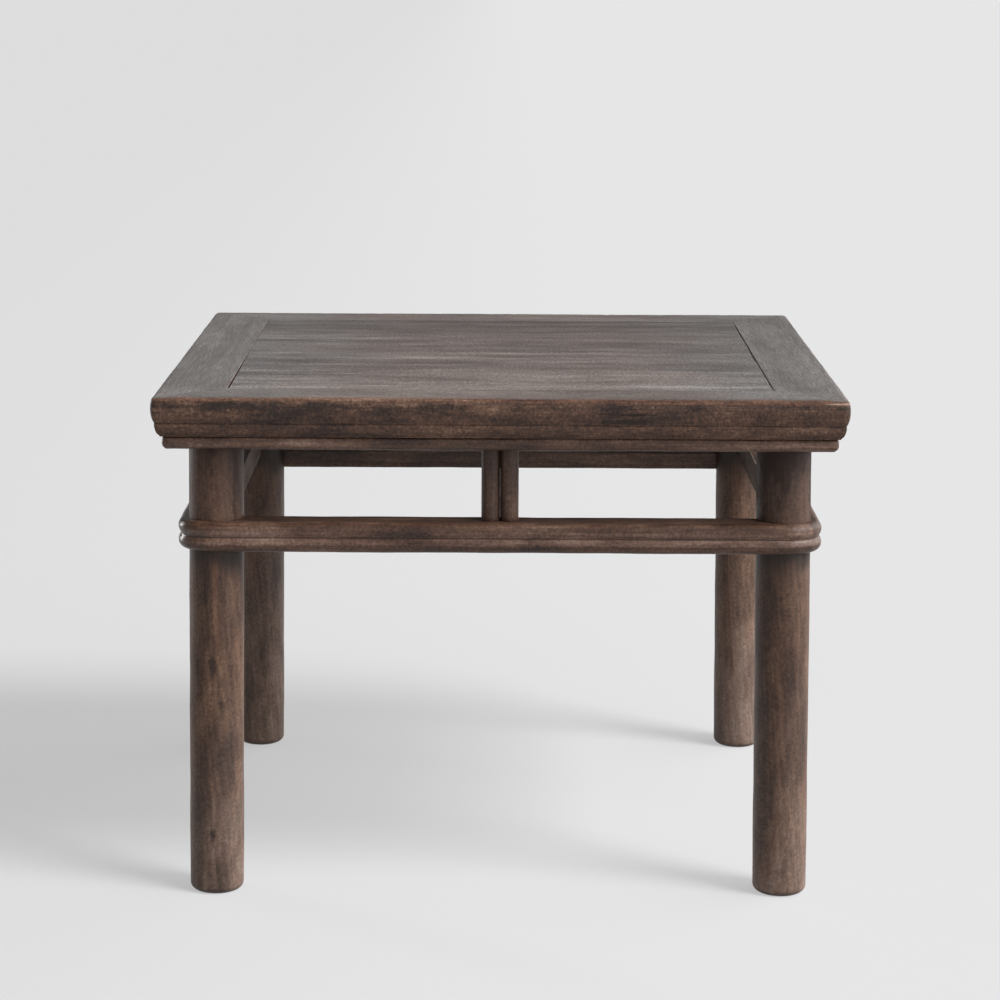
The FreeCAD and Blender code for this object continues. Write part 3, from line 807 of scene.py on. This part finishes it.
def raw_batten():
    # Elm as the plane left it, never sealed: matt and dusty, with fibres that stand up
    material, tree = new_finish("raw_elm_batten")
    part = elm_figure(tree, tilt=(0, 0.04, 0.02), heart=(0, 20, 40))
    value = shifted(tree, part, 0.5, rings=0.2, fibre=0.7, cloud=0.6, speck=0.4)
    colour = add(tree, "ShaderNodeValToRGB", {0: value}, stops=RAW_FACE)
    colour = layered(tree, colour, ("#1F1612", (apart(tree, part.along), 318.0, 324.0, 0.85)))
    shade(tree, colour, 0.75, 0.3, (part.fibre, 0.4))
    return material


def split_bamboo():
    # Bamboo split along its strands and whittled: yellow, with fine lines from end to end
    material, tree = new_finish("split_bamboo")
    strands = add(tree, "ShaderNodeVectorMath", {
        0: add(tree, "ShaderNodeTexCoord").outputs["Object"], 1: [1 / (size * MM) for size in STRAND_MM],
    }, operation="MULTIPLY")
    strands = add(tree, "ShaderNodeTexNoise", {"Vector": strands, "Scale": 1.0}).outputs[0]
    colour = add(tree, "ShaderNodeValToRGB", {0: strands}, stops=SPLIT_CANE)
    shade(tree, colour, 0.6, 0.4, (strands, 0.1))
    return material


batten_finish = raw_batten()
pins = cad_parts["edge_strip_pins"]
pins.data.materials.clear()
pins.data.materials.append(split_bamboo())
print("raw finishes:", batten_finish.name, "and", pins.data.materials[0].name)

# %% [markdown]
# Sections are drawn with straight lines and arcs, as with a ruler and a compass. An arc is worked out
# from its centre and two angles, or from its two ends and how far it bulges between them.

# %% Arcs for the sections
def arc(centre, radius, start, end, count, exposure=0.0):
    points = []
    for i in range(count + 1):
        angle = math.radians(start + (end - start) * i / count)
        points.append((centre[0] + radius * math.cos(angle), centre[1] + radius * math.sin(angle), exposure))
    return points


def bulge(start, end, rise, count, exposure=0.0):
    """Arc from start to end that stands rise to the right of the line between them."""
    chord = math.dist(start, end)
    radius = (chord ** 2 / 4 + rise ** 2) / (2 * rise)
    half = math.asin(chord / 2 / radius)
    ahead = Vector((end[0] - start[0], end[1] - start[1])) / chord
    points = []
    for i in range(count + 1):
        angle = half * (2 * i / count - 1)
        run = chord / 2 + radius * math.sin(angle)
        lift = radius * math.cos(angle) - radius + rise
        x, y = start[0] + ahead.x * run - ahead.y * lift, start[1] + ahead.y * run + ahead.x * lift
        points.append((x, y, exposure))
    return points


def spread(start, end, step):
    """Values from start to end, evenly spaced and no further apart than step."""
    count = max(1, math.ceil(abs(end - start) / step))
    return [start + (end - start) * i / count for i in range(count + 1)]


print("an arc of 8 mm:", [round(x, 1) for x, y, bare in arc((0, 0), 8, 0, 90, 4)])

# %% [markdown]
# The top rails. Their section is drawn once: flat top, rounded arris, a bulging face, an incised line
# and a rounded lower edge. It goes round clockwise from the inner end of the top, in millimetres in
# from the moulded edge and down from the top.

# %% Section of the top rails
RAIL_WIDTH, RAIL_DEPTH, EASE = 67.0, 38.0, 0.4
ARRIS, CROWN, OVOLO = 3.5, 30.0, 15.0       # radii of the arris, the bulging face and the lower edge
CROWN_LEVEL, QUIRK = 11.0, 24.5             # depths of the face's furthest point and of the incised line
meet = math.degrees(math.asin((CROWN_LEVEL - ARRIS) / (CROWN - ARRIS)))
arris_inset = CROWN - math.sqrt((CROWN - ARRIS) ** 2 - (CROWN_LEVEL - ARRIS) ** 2)
crown_end = math.degrees(math.asin((QUIRK - CROWN_LEVEL) / CROWN))


def crown_inset(depth):
    """How far the bulging face stands in from the moulded edge, at a depth below the top."""
    return CROWN - math.sqrt(CROWN ** 2 - (depth - CROWN_LEVEL) ** 2)


rail_section = [(RAIL_WIDTH - EASE, 0, 0.3)]
rail_section += [(inset, 0, 0.0) for inset in spread(RAIL_WIDTH - 1, arris_inset + 6, 4)]
rail_section += [(arris_inset + 3, 0, 0.35), (arris_inset + 1.2, 0, 0.8)]
rail_section += arc((arris_inset, ARRIS), ARRIS, 270, 180 + meet, 7, 1.0)
rail_section += arc((CROWN, CROWN_LEVEL), CROWN, 180 + meet, 180 - crown_end, 16, 0.15)[1:]
quirk_inset = crown_inset(QUIRK)
rail_section += [(quirk_inset + 0.6, QUIRK + 0.7, -0.4)]
ovolo_start, ovolo_end = (quirk_inset, QUIRK + 1.4), (8.3, RAIL_DEPTH - 0.8)
ovolo_rise = OVOLO - math.sqrt(OVOLO ** 2 - math.dist(ovolo_start, ovolo_end) ** 2 / 4)
rail_section += bulge(ovolo_start, ovolo_end, ovolo_rise, 9, 0.2)
rail_section += [(ovolo_end[0], RAIL_DEPTH, 0.0)]
rail_section += [(inset, RAIL_DEPTH, 0.0) for inset in spread(14, RAIL_WIDTH - EASE, 9)]
rail_section += [(RAIL_WIDTH, depth, 0.0) for depth in (RAIL_DEPTH - EASE, 28, 18, 8, 2, EASE)]
print("rail section:", len(rail_section), "points, line cut", round(quirk_inset, 2), "mm in")

# %% [markdown]
# One run makes a rail, and a turn about the middle of the table sets it on its side. Hands have
# rounded the corners, which a mitred run can't show, so the corner's square is drawn into a quarter
# circle in plan.

# %% Top rails
def round_corners(piece, half, radius):
    for vertex in piece.data.vertices:
        x, y = abs(vertex.co.x) - half + radius, abs(vertex.co.y) - half + radius
        if x > 0 and y > 0:
            share = max(x, y) / math.hypot(x, y)
            vertex.co.x = math.copysign(half - radius + x * share, vertex.co.x)
            vertex.co.y = math.copysign(half - radius + y * share, vertex.co.y)
    return piece


def settle(piece, slot, *nodes):
    """Hand a finished piece to the body as the stand-in for its nodes."""
    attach(piece, "root")
    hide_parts(*nodes)
    print(piece.name, len(piece.data.vertices), "points")


def edge_run(name, level, section, turn, tone, finish):
    """A mitred run along the moulded edge, from a level down, its section in millimetres in and down."""
    line = [(x, -half_top, level, 1.0) for x in spread(-half_top, half_top, 3.5 * MM)]
    return moulded_run(
        name, line, [(-inset * MM, depth * MM, bare) for inset, depth, bare in section],
        half_top, mitre=1 / half_top, turn=turn, Tone=tone, Material=finish,
        Wander=0.2 * MM, Dent=0.6 * MM, **{"Wander Size": 90 * MM, "Dent Size": 9 * MM},
    )


for number, (side, turn) in enumerate(SIDES.items()):
    tone = 2.7 + 3.1 * number
    rail = edge_run("rail_" + side, table_height, rail_section, turn, tone, frame_finish)
    settle(round_corners(rail, half_top, 5.5 * MM), "weathered_top", "top_rail_" + side)

# %% [markdown]
# The edge strips are round-faced bars pinned under the rails, mitred like them. They could be drawn
# into the section of the rails, but on the real table the joint between the two shows. The same tree
# makes them, hung from the underside of the rails.

# %% Edge strips
STRIP_INSET, STRIP_MIDDLE, STRIP_BACK = 9.5, 22, 31.1     # in from the moulded edge
STRIP_HEIGHT, TOP_ROUND, LOW_ROUND = 12.8, 2.8, 6.0
strip_section = [(STRIP_BACK, 0, 0.0), (STRIP_MIDDLE, 0, 0.0), (STRIP_INSET + 2.6, 0, 0.2)]
strip_section += arc((STRIP_INSET + TOP_ROUND, 3.2), TOP_ROUND, 260, 180, 6, 0.35)
strip_section += arc((STRIP_INSET + LOW_ROUND, STRIP_HEIGHT - LOW_ROUND), LOW_ROUND, 180, 95, 9, 0.3)
strip_section += [(STRIP_MIDDLE, STRIP_HEIGHT, 0.0), (STRIP_BACK, STRIP_HEIGHT, 0.0), (STRIP_BACK, 5.5, 0.0)]
strip_out = -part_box("edge_strip_front")[0].y
for number, (side, turn) in enumerate(SIDES.items()):
    tone = 11.3 + 2.3 * number
    strip = edge_run("strip_" + side, rail_underside, strip_section, turn, tone, moulding_finish)
    settle(round_corners(strip, strip_out, 5 * MM), "dark_moulding", "edge_strip_" + side)

# %% [markdown]
# The panel is three boards, tongued into the frame and free to shrink, so uneven dark gaps show at
# both ends. A run can't step down to a tongue at its ends, so the boards are skinned ring by ring:
# across the board, then down the shoulder, then out along the tongue.

# %% Section of a board
inner = half_top - RAIL_WIDTH * MM         # middle of the table to the frame's inner edge
tongue, shoulder, board_thickness, ease = 8 * MM, 6 * MM, 12 * MM, 0.3 * MM
outer_reach = 200 * MM                     # only an outer board reaches this far from the middle


def end_gap(y, end):
    """Shrinkage gap at a side rail: widest at the front on the left, wide for most of the right."""
    share = (y + inner) / (2 * inner)
    if end < 0:
        return (0.45 + 1.7 * max(0.0, 1 - 1.6 * share) ** 1.2 + 0.2 * math.sin(9 * share)) * MM
    return (0.75 + 0.55 * math.sin(math.pi * share) + 0.2 * math.sin(17 * share)) * MM


def board_section(front, rear):
    """(y, depth, exposure) round a board; the outer boards have a tongue along one side."""
    points = [(front, ease, 0.3)] + [(y, 0.0, 0.0) for y in spread(front + ease, rear - ease, 5 * MM)]
    points += [(rear, ease, 0.3), (rear, shoulder, 0.0)]
    if rear > outer_reach:
        points += [(rear + tongue, shoulder, 0.0), (rear + tongue, board_thickness, 0.0)]
    points += [(y, board_thickness, 0.0) for y in spread(rear, front, 30 * MM)]
    if front < -outer_reach:
        points += [(front - tongue, board_thickness, 0.0), (front - tongue, shoulder, 0.0)]
    return points + [(front, shoulder, 0.0)]


print("gap at the front left", round(end_gap(-inner, -1) / MM, 2), "mm")

# %% [markdown]
# The rings of a board repeat its section along the grain. At each end a few more of them follow the
# gap, go down to the shoulder, and reach out along the tongue.

# %% Rings of a board
def board_rings(points):
    rings = []
    for x in spread(-inner + 6 * MM, inner - 6 * MM, 5 * MM):
        rings.append([(x, y, depth) for y, depth, bare in points])
    for end in (-1, 1):
        ends = []
        for back, least in ((1.0 * MM, 0.0), (ease, 0.0), (0.0, ease), (0.0, shoulder)):
            ends.append([
                (end * (inner - end_gap(y, end) - back), y, max(depth, least)) for y, depth, bare in points])
        ends.append([(end * (inner + tongue), y, max(depth, shoulder)) for y, depth, bare in points])
        rings = ends[::-1] + rings if end < 0 else rings + ends
    return rings


print("rings of a board:", len(board_rings(board_section(-inner, inner))))

# %% [markdown]
# Each board is skinned between its rings, with its own place as the grain attribute, so that the
# figure runs on from board to board as in planks cut from one log.

# %% Panel boards
def panel_board(name, front, rear, tone):
    points = board_section(front, rear)
    rings = board_rings(points)
    count = len(points)
    faces = []
    for i in range(len(rings) - 1):
        for j in range(count):
            k = (j + 1) % count
            faces.append((i * count + j, i * count + k, (i + 1) * count + k, (i + 1) * count + j))
    faces += [tuple(range(count)), tuple(range((len(rings) - 1) * count, len(rings) * count))]
    mesh = bpy.data.meshes.new(name)
    corners = [corner for ring in rings for corner in ring]
    mesh.from_pydata([(x, y, table_height - depth) for x, y, depth in corners], [], faces)
    mesh.attributes.new("grain", "FLOAT_VECTOR", "POINT")
    mesh.attributes.new("edge", "FLOAT", "POINT")
    for index, corner in enumerate(corners):
        near_end = abs(corner[0]) > inner - 4 * MM
        mesh.attributes["grain"].data[index].vector = corner
        mesh.attributes["edge"].data[index].value = points[index % count][2] + 0.3 * near_end
    return hand_worked(
        placed(name, mesh), Wander=0.16 * MM, Tone=tone, Dent=0.5 * MM, Material=panel_finish,
        **{"Wander Size": 70 * MM, "Dent Size": 12 * MM},
    )


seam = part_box("panel_board_middle")[1].y
edge_gap = 0.2 * MM
for name, front, rear, tone in (
    ("front", -inner + edge_gap, -seam, 24.8), ("middle", -seam, seam, 24.9),
    ("rear", seam, inner - edge_gap, 25.0),
):
    settle(panel_board("board_" + name, front, rear, tone), "weathered_top", "panel_board_" + name)

# %% [markdown]
# Plain bars are rectangles with eased corners. Where one piece of wood changes its section, as where a
# bar steps down to a tenon, two runs are joined into one mesh.

# %% Plain bars
def eased_box(out, top, bottom, ease=1.0):
    """Rectangular (out, down, exposure) section in millimetres with eased corners, as a run takes it."""
    corners = [
        (-out + ease, top), (out - ease, top), (out, top + ease), (out, bottom - ease),
        (out - ease, bottom), (-out + ease, bottom), (-out, bottom - ease), (-out, top + ease),
    ]
    return [(u * MM, v * MM, 0.3) for u, v in corners]


def joined(target, *others):
    """Adds other objects' meshes to the first one, which keeps its own material."""
    bm = bmesh.new()
    for source in (target, *others):
        bm.from_mesh(source.data)
    bm.to_mesh(target.data)
    bm.free()
    for source in others:
        mesh = source.data
        bpy.data.objects.remove(source)
        bpy.data.meshes.remove(mesh)
    return target


print("a plain bar has", len(eased_box(10, 0, 10)), "corners")

# %% [markdown]
# Two battens run under the panel from front to back, with through tenons that end in the moulded
# edge. The right one has stayed a little proud and its end grain has drunk in dirt. The left one has
# shrunk back under the old lacquer. The tenons' ends are drawn back to the bulging face.

# %% Battens
BATTEN_OUT = 116 * MM
TENON_LENGTH = 20 * MM
BAR_BOX, TENON_BOX = (23, 0, 20), (21, 1, 11, 0.4)        # half width, top and bottom below the panel
batten_wear = {"Wander": 0.3 * MM, "Wander Size": 60 * MM, "Dent": 0.6 * MM, "Dent Size": 14 * MM}
for name, x, proud in (("left", -BATTEN_OUT, -0.5 * MM), ("right", BATTEN_OUT, 0.5 * MM)):
    bar_line = [(s, 0, panel_underside, 1.0) for s in spread(-inner, inner, 6 * MM)]
    parts = [moulded_run(
        "batten_bar_" + name, bar_line, eased_box(*BAR_BOX), inner,
        Tone=31 + x * 9, Material=batten_finish, **batten_wear)]
    for end in (-1, 1):
        tenon_line = [
            (end * s, 0, panel_underside, 1.0) for s in spread(half_top - TENON_LENGTH, half_top, 2 * MM)]
        tenon = moulded_run(
            "tenon", tenon_line, eased_box(*TENON_BOX), TENON_LENGTH - half_top,
            Tone=35 + x * 9, Material=batten_finish, **dict(batten_wear, Wander=0.0, Dent=0.0))
        for vertex in tenon.data.vertices:
            depth = (table_height - vertex.co.z) / MM
            limit = half_top - crown_inset(depth) * MM + proud
            vertex.co.x = end * min(abs(vertex.co.x), limit)
        parts.append(tenon)
    batten = joined(*parts)
    batten.data.transform(Matrix.Rotation(math.radians(90), 4, "Z"))
    batten.data.transform(Matrix.Translation((x, 0, 0)))
    settle(batten, "raw_batten", "batten_" + name)

# %% [markdown]
# A leg is a long round post, planed by eye from a square, so its surface wanders. A cylinder would give
# the shape, but a run also brings its grain. It is swept upright, with a soft round at the foot, then
# sheared outward, which keeps both ends level.

# %% Legs
FOOT_ROUND = 7.5 * MM
foot_levels = [share ** 2 * FOOT_ROUND for share in spread(0, 0.9, 0.12)]
leg_line = []
for level in foot_levels + spread(FOOT_ROUND, rail_underside, 5 * MM):
    bend = max(0.0, 1 - level / FOOT_ROUND)
    leg_line.append((0, 0, level, 1 - FOOT_ROUND / leg_radius * (1 - math.sqrt(1 - bend ** 2))))
for name, sx, sy, soot, tone in (
    ("front_left", -1, -1, 0.3, 41.7), ("front_right", 1, -1, 0.8, 47.5),
    ("rear_left", -1, 1, 0.8, 53.3), ("rear_right", 1, 1, 0.5, 57.2),
):
    leg_section = arc((0, 0), leg_radius, 0, 355, 71, soot)
    leg = moulded_run(
        "post_" + name, leg_line, leg_section, 0.0, Tone=tone, Dent=0.0, Material=leg_finish,
        Wander=0.45 * MM, **{"Wander Size": 80 * MM, "Dent Size": 20 * MM},
    )
    lean = Matrix.Identity(4)
    for row, sign in ((0, sx), (1, sy)):
        lean[row][2] = -sign * leg_splay / rail_underside
        lean[row][3] = sign * leg_axis(0)
    leg.data.transform(lean)
    for vertex in leg.data.vertices:
        vertex.co.z = max(vertex.co.z, 0.0)
    settle(leg, "worn_leg", "leg_" + name)

# %% [markdown]
# The stretchers carry two beads that turn round the outside of the legs and meet on a mitre, as if
# the table were bound with bent cane. Two bent tubes would look alike from outside, but each stretcher
# is one piece of wood with a groove, so its whole section is drawn. The beads are mirror images about
# the groove, but the lower one is rubbed more.

# %% Section of the stretchers
BEAD = (stretcher_high.z - stretcher_low.z) / 4 / MM
REACH, GROOVE, INNER = 36.8, 2.6, -2.2      # outer face, depth of the groove, inner face, from the leg axis
face_radius = (GROOVE ** 2 + BEAD ** 2) / (2 * GROOVE)
face_end = math.degrees(math.asin(BEAD / face_radius))


def half_section(round_bare, face_bare):
    """One bead from the inner face to the groove, as (out, level, exposure) below the middle line."""
    points = [(INNER, -2 * BEAD + 0.8, -1.0), (INNER + 0.8, -2 * BEAD, -1.0)]
    points += [(out, -2 * BEAD, 0.0) for out in spread(INNER + 5, REACH - BEAD - 3, 7)]
    points += arc((REACH - BEAD, -BEAD), BEAD, -90, 0, 9, round_bare)
    return points + arc((REACH - face_radius, -BEAD), face_radius, 0, face_end - 5, 6, face_bare)[1:]


groove = [(REACH - GROOVE + 0.5, -0.4, -0.4), (REACH - GROOVE + 0.5, 0.4, -0.4)]
upper = [(out, -level, bare) for out, level, bare in reversed(half_section(0.1, 0.5))]
inner_face = [(INNER, 5, -1.0), (INNER, -5, -1.0)]
bead_points = half_section(0.1, 1.1) + groove + upper + inner_face
print("stretcher section:", len(bead_points), "points")

# %% [markdown]
# The path follows the legs: half a corner, a straight run, half a corner. A path that turned on a
# point would have no direction there, so it turns on a hub of one millimetre, which is taken off the
# section again. The rear stretcher hangs lower inside, with a plain apron below its beads.

# %% Stretchers
HUB = 1.0 * MM
APRON_BOX = (7, 0, 19)                      # half width, top and bottom below the beads
APRON_OUT = 8.8 * MM                        # its middle, outward from the leg axes
APRON_SHORT = 19 * MM                       # its end, short of the leg axis


def wrapped_path():
    """Along the leg axes, with the last half corner at each end, as points on the axis line."""
    points = []
    for angle in [-45] + spread(-44.7, 0, 3.75):
        turn = math.radians(angle)
        points.append((-joint_out + HUB * math.sin(turn), -joint_out - HUB * math.cos(turn)))
    far_corner = [(-x, y) for x, y in reversed(points)]
    points += [(x, -joint_out - HUB) for x in spread(-joint_out, joint_out, 5 * MM)[1:-1]] + far_corner
    return [(x, y, stretcher_middle, 1.0) for x, y in points]


wrap_line = wrapped_path()
half_run = sum(math.dist(a[:3], b[:3]) for a, b in zip(wrap_line, wrap_line[1:])) / 2
wrap_section = [(out * MM - HUB, -level * MM, bare) for out, level, bare in bead_points]
bead_wear = {"Wander": 0.3 * MM, "Wander Size": 60 * MM, "Dent": 0.7 * MM, "Dent Size": 18 * MM}
for number, (side, turn) in enumerate(SIDES.items()):
    stretcher = moulded_run(
        "wrapped_stretcher_" + side, wrap_line, wrap_section, half_run,
        core=leg_core, clear=joint_out - leg_core, turn=turn,
        Tone=61.1 + 3.7 * number, Material=moulding_finish, **bead_wear,
    )
    if side == "rear":
        span = joint_out - APRON_SHORT
        low_line = [(x, -joint_out - APRON_OUT, stretcher_low.z, 1.0) for x in spread(-span, span, 5 * MM)]
        apron = moulded_run(
            "apron", low_line, eased_box(*APRON_BOX), span,
            turn=turn, Tone=77.7, Material=moulding_finish, **bead_wear)
        joined(stretcher, apron)
    settle(stretcher, "dark_moulding", "stretcher_" + side)

# %% [markdown]
# Eight short struts stand in pairs between the stretchers and the top. They could be eight runs, but
# they are alike, so one is swept, with its ends eased, and copied.

# %% One strut
STRUT_SWELL = 0.18 * MM                     # the two of a pair all but touch
END_EASE = 0.8 * MM
STRUT_TONE = 81.0
strut_low, strut_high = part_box("strut_front_1")
strut_radius = (strut_high.x - strut_low.x) / 2 + STRUT_SWELL
strut_length = rail_underside - stretcher_high.z
strut_levels = [0, 0.15 * MM, 0.4 * MM] + spread(END_EASE, strut_length - END_EASE, 4 * MM)
strut_line = []
for level in strut_levels + [strut_length - 0.4 * MM, strut_length]:
    near_end = max(0.0, END_EASE - min(level, strut_length - level))
    strut_line.append((0, 0, level, 1 - 0.6 * near_end / strut_radius))
strut = moulded_run(
    "strut", strut_line, arc((0, 0), strut_radius, 0, 352.5, 47, -0.3), 0.0,
    Tone=STRUT_TONE, Material=moulding_finish, Wander=0.03 * MM, Dent=0.4 * MM,
    **{"Wander Size": 40 * MM, "Dent Size": 10 * MM},
)
print("strut", round(strut_length / MM, 1), "mm long,", round(2 * strut_radius / MM, 2), "mm thick")

# %% [markdown]
# A small tree sets a copy of the strut on each of eight points. Copies would all show the same side of
# the same figure, so it turns each by a random angle and shifts its tone.

# %% Node tree: struts in pairs
FULL_TURN, TONE_STEP = 6.28, 3.3
pair_tree, given, result = new_tree("strut_pairs", [
    ("Geometry", "Geometry"), ("Strut", "Object"), ("Seed", "Int"), ("Material", "Material"),
])
source = add(pair_tree, "GeometryNodeObjectInfo", {"Object": given["Strut"], "As Instance": True})
spin = add(pair_tree, "FunctionNodeRandomValue", {
    "Min": (0, 0, 0), "Max": (0, 0, FULL_TURN), "Seed": given["Seed"],
}, data_type="FLOAT_VECTOR")
copies = add(pair_tree, "GeometryNodeInstanceOnPoints", {
    "Points": given["Geometry"], "Instance": source.outputs["Geometry"], "Rotation": spin.outputs["Value"],
})
which = add(pair_tree, "GeometryNodeCaptureAttribute", {
    "Geometry": copies, "Number": add(pair_tree, "GeometryNodeInputIndex"),
}, facts=(("FLOAT", "Number"),), domain="INSTANCE")
own_tone = add(pair_tree, "ShaderNodeMath", {
    0: which.outputs["Number"], 1: TONE_STEP, 2: STRUT_TONE,
}, operation="MULTIPLY_ADD")
real = add(pair_tree, "GeometryNodeRealizeInstances", {"Geometry": which.outputs["Geometry"]})
real = add(pair_tree, "GeometryNodeStoreNamedAttribute", {
    "Geometry": real, "Name": "tone", "Value": own_tone,
})
real = add(pair_tree, "GeometryNodeSetMaterial", {"Geometry": real, "Material": given["Material"]})
pair_tree.links.new(real.outputs["Geometry"], result["Geometry"])
print("strut_pairs:", len(pair_tree.nodes), "nodes")

# %% [markdown]
# The eight points are the middles of the struts' solids, at the top of the stretchers. The strut that
# was copied is deleted at the end.

# %% Struts
strut_nodes = sorted(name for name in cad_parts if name.startswith("strut_"))
stands = []
for name in strut_nodes:
    low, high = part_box(name)
    stands.append(((low.x + high.x) / 2, (low.y + high.y) / 2, stretcher_high.z))
stand_mesh = bpy.data.meshes.new("struts")
stand_mesh.from_pydata(stands, [], [])
struts = placed("struts", stand_mesh)
modifier = struts.modifiers.new("strut_pairs", "NODES")
modifier.node_group = pair_tree
set_inputs(modifier, {"Strut": strut, "Seed": 5, "Material": moulding_finish})
frozen(struts)
strut_mesh = strut.data
bpy.data.objects.remove(strut)
bpy.data.meshes.remove(strut_mesh)
settle(struts, "dark_moulding", *strut_nodes)

# %% [markdown]
# A pale, endless floor stands in for the studio sweep. Its colour alone makes the pale background: it
# looks brighter to the camera and in reflections than it is as a source of light, so the light on
# the table can stay at a plain level and the shadow stays on the floor.

# %% Floor
FLOOR_REACH = 60
floor_mesh = bpy.data.meshes.new("floor")
floor_corners = [(sx * FLOOR_REACH, sy * FLOOR_REACH, 0) for sx, sy in ((-1, -1), (1, -1), (1, 1), (-1, 1))]
floor_mesh.from_pydata(floor_corners, [], [(0, 1, 2, 3)])
floor = placed("floor", floor_mesh)
# Painted board, quite matt; to the camera it glows a shade paler on the right, a painted fall-off
# of the room light
floor_finish, tree = new_finish("studio_floor")
rays = add(tree, "ShaderNodeLightPath").outputs
seen = add(tree, "ShaderNodeMath", {0: rays["Is Camera Ray"], 1: rays["Is Glossy Ray"]}, operation="MAXIMUM")
seen = add(tree, "ShaderNodeMath", {0: seen, 1: rays["Is Transmission Ray"]}, operation="MAXIMUM")
floor_place = add(tree, "ShaderNodeTexCoord").outputs["Object"]
# painted light: the glow fades towards the left, as the room light falls off
glow_with_painted_falloff = add(tree, "ShaderNodeMapRange", {
    "Value": add(tree, "ShaderNodeSeparateXYZ", {"Vector": floor_place}).outputs["X"],
    "From Min": -1.6, "From Max": 0.6, "To Min": 0.388, "To Max": 0.455,
}, interpolation_type="SMOOTHSTEP")
glow_with_painted_falloff = add(tree, "ShaderNodeMath", {0: seen, 1: glow_with_painted_falloff}, operation="MULTIPLY")
glow_with_painted_falloff = add(tree, "ShaderNodeEmission", {"Color": "#FFFFFF", "Strength": glow_with_painted_falloff})
lit = add(tree, "ShaderNodeBsdfDiffuse", {"Color": "#959596"})
add(tree, "ShaderNodeOutputMaterial", {"Surface": add(tree, "ShaderNodeAddShader", {0: lit, 1: glow_with_painted_falloff})})
floor_mesh.materials.append(floor_finish)
print("floor", 2 * FLOOR_REACH, "m wide")

# %% [markdown]
# The room is pale walls, brightest on the right, under a darker ceiling. More lamps could give the same
# light, but their edges would show in the lacquer, so the walls are shades of the world. They leave
# the floor under the table bright, and the ceiling keeps the top from washing out.

# %% Room light
world = bpy.data.worlds.new("studio")
bpy.context.scene.world = world
world.use_nodes = True
tree = world.node_tree
tree.nodes.clear()
direction = add(tree, "ShaderNodeTexCoord").outputs["Generated"]
toward = add(tree, "ShaderNodeSeparateXYZ", {"Vector": direction}).outputs
walls = add(tree, "ShaderNodeMapRange", {
    "Value": toward["X"], "From Min": 0.1, "From Max": 0.95, "To Min": 0.2, "To Max": 3.0,
}, interpolation_type="SMOOTHSTEP")
ceiling = add(tree, "ShaderNodeMapRange", {
    "Value": toward["Z"], "From Min": 0.55, "From Max": 0.75, "To Min": 1.0, "To Max": 0.12,
}, interpolation_type="SMOOTHSTEP")
near_wall = add(tree, "ShaderNodeMapRange", {
    "Value": toward["Y"], "From Min": 0.0, "From Max": -1.0, "To Max": 0.35,
})
walls = add(tree, "ShaderNodeMath", {0: walls, 1: near_wall}, operation="ADD")
strength = add(tree, "ShaderNodeMath", {0: walls, 1: ceiling}, operation="MULTIPLY")
add(tree, "ShaderNodeOutputWorld", {
    "Surface": add(tree, "ShaderNodeBackground", {"Color": (1, 1, 1, 1), "Strength": strength}),
})
print("room:", len(tree.nodes), "nodes")

# %% [markdown]
# One large soft lamp stands at the right front. It is a sun with a wide angle, because a near lamp would
# light the floor unevenly. A weak narrow strip at the left rear gives the polished left corner its two
# small highlights.

# %% Lamps
lamp_data = bpy.data.lights.new("soft_lamp", "SUN")
lamp_data.energy = 2.8
lamp_data.angle = math.radians(24)
lamp = placed("soft_lamp", lamp_data)
lamp.rotation_euler = Vector((0.635, -0.338, 0.695)).to_track_quat("Z", "Y").to_euler()

strip_data = bpy.data.lights.new("side_strip", "AREA")
strip_data.shape = "RECTANGLE"
strip_data.size, strip_data.size_y = 0.4, 1.0
strip_data.energy = 1.2
strip_data.spread = math.radians(50)
strip_lamp = placed("side_strip", strip_data)
strip_lamp.location = (-2.0, 1.04, 0.65)
strip_lamp.rotation_euler = Vector((-1.7, 1.33, 0.29)).to_track_quat("Z", "Y").to_euler()
print("lamps", lamp_data.energy, strip_data.energy)

# %% [markdown]
# The camera stands where the photograph was taken: well back, a little above the top, looking down by
# about ten degrees with a long lens, and turned by a third of a degree about its own axis.

# %% Camera
CAMERA_TILT, CAMERA_ROLL = 10.57, 0.29
camera_data = bpy.data.cameras.new("camera")
camera_data.sensor_width = 36.0
camera_data.lens = 108.6
camera_data.clip_end = 200.0
camera = placed("camera", camera_data)
tipped = Matrix.Rotation(math.radians(90 - CAMERA_TILT), 4, "X")
rolled = Matrix.Rotation(math.radians(CAMERA_ROLL), 4, "Z")
camera.matrix_world = Matrix.Translation((0.0, -3.131, 0.922)) @ tipped @ rolled
bpy.context.scene.camera = camera
bpy.context.scene.view_settings.view_transform = "Standard"
print("camera lens", round(camera_data.lens, 1), "mm")
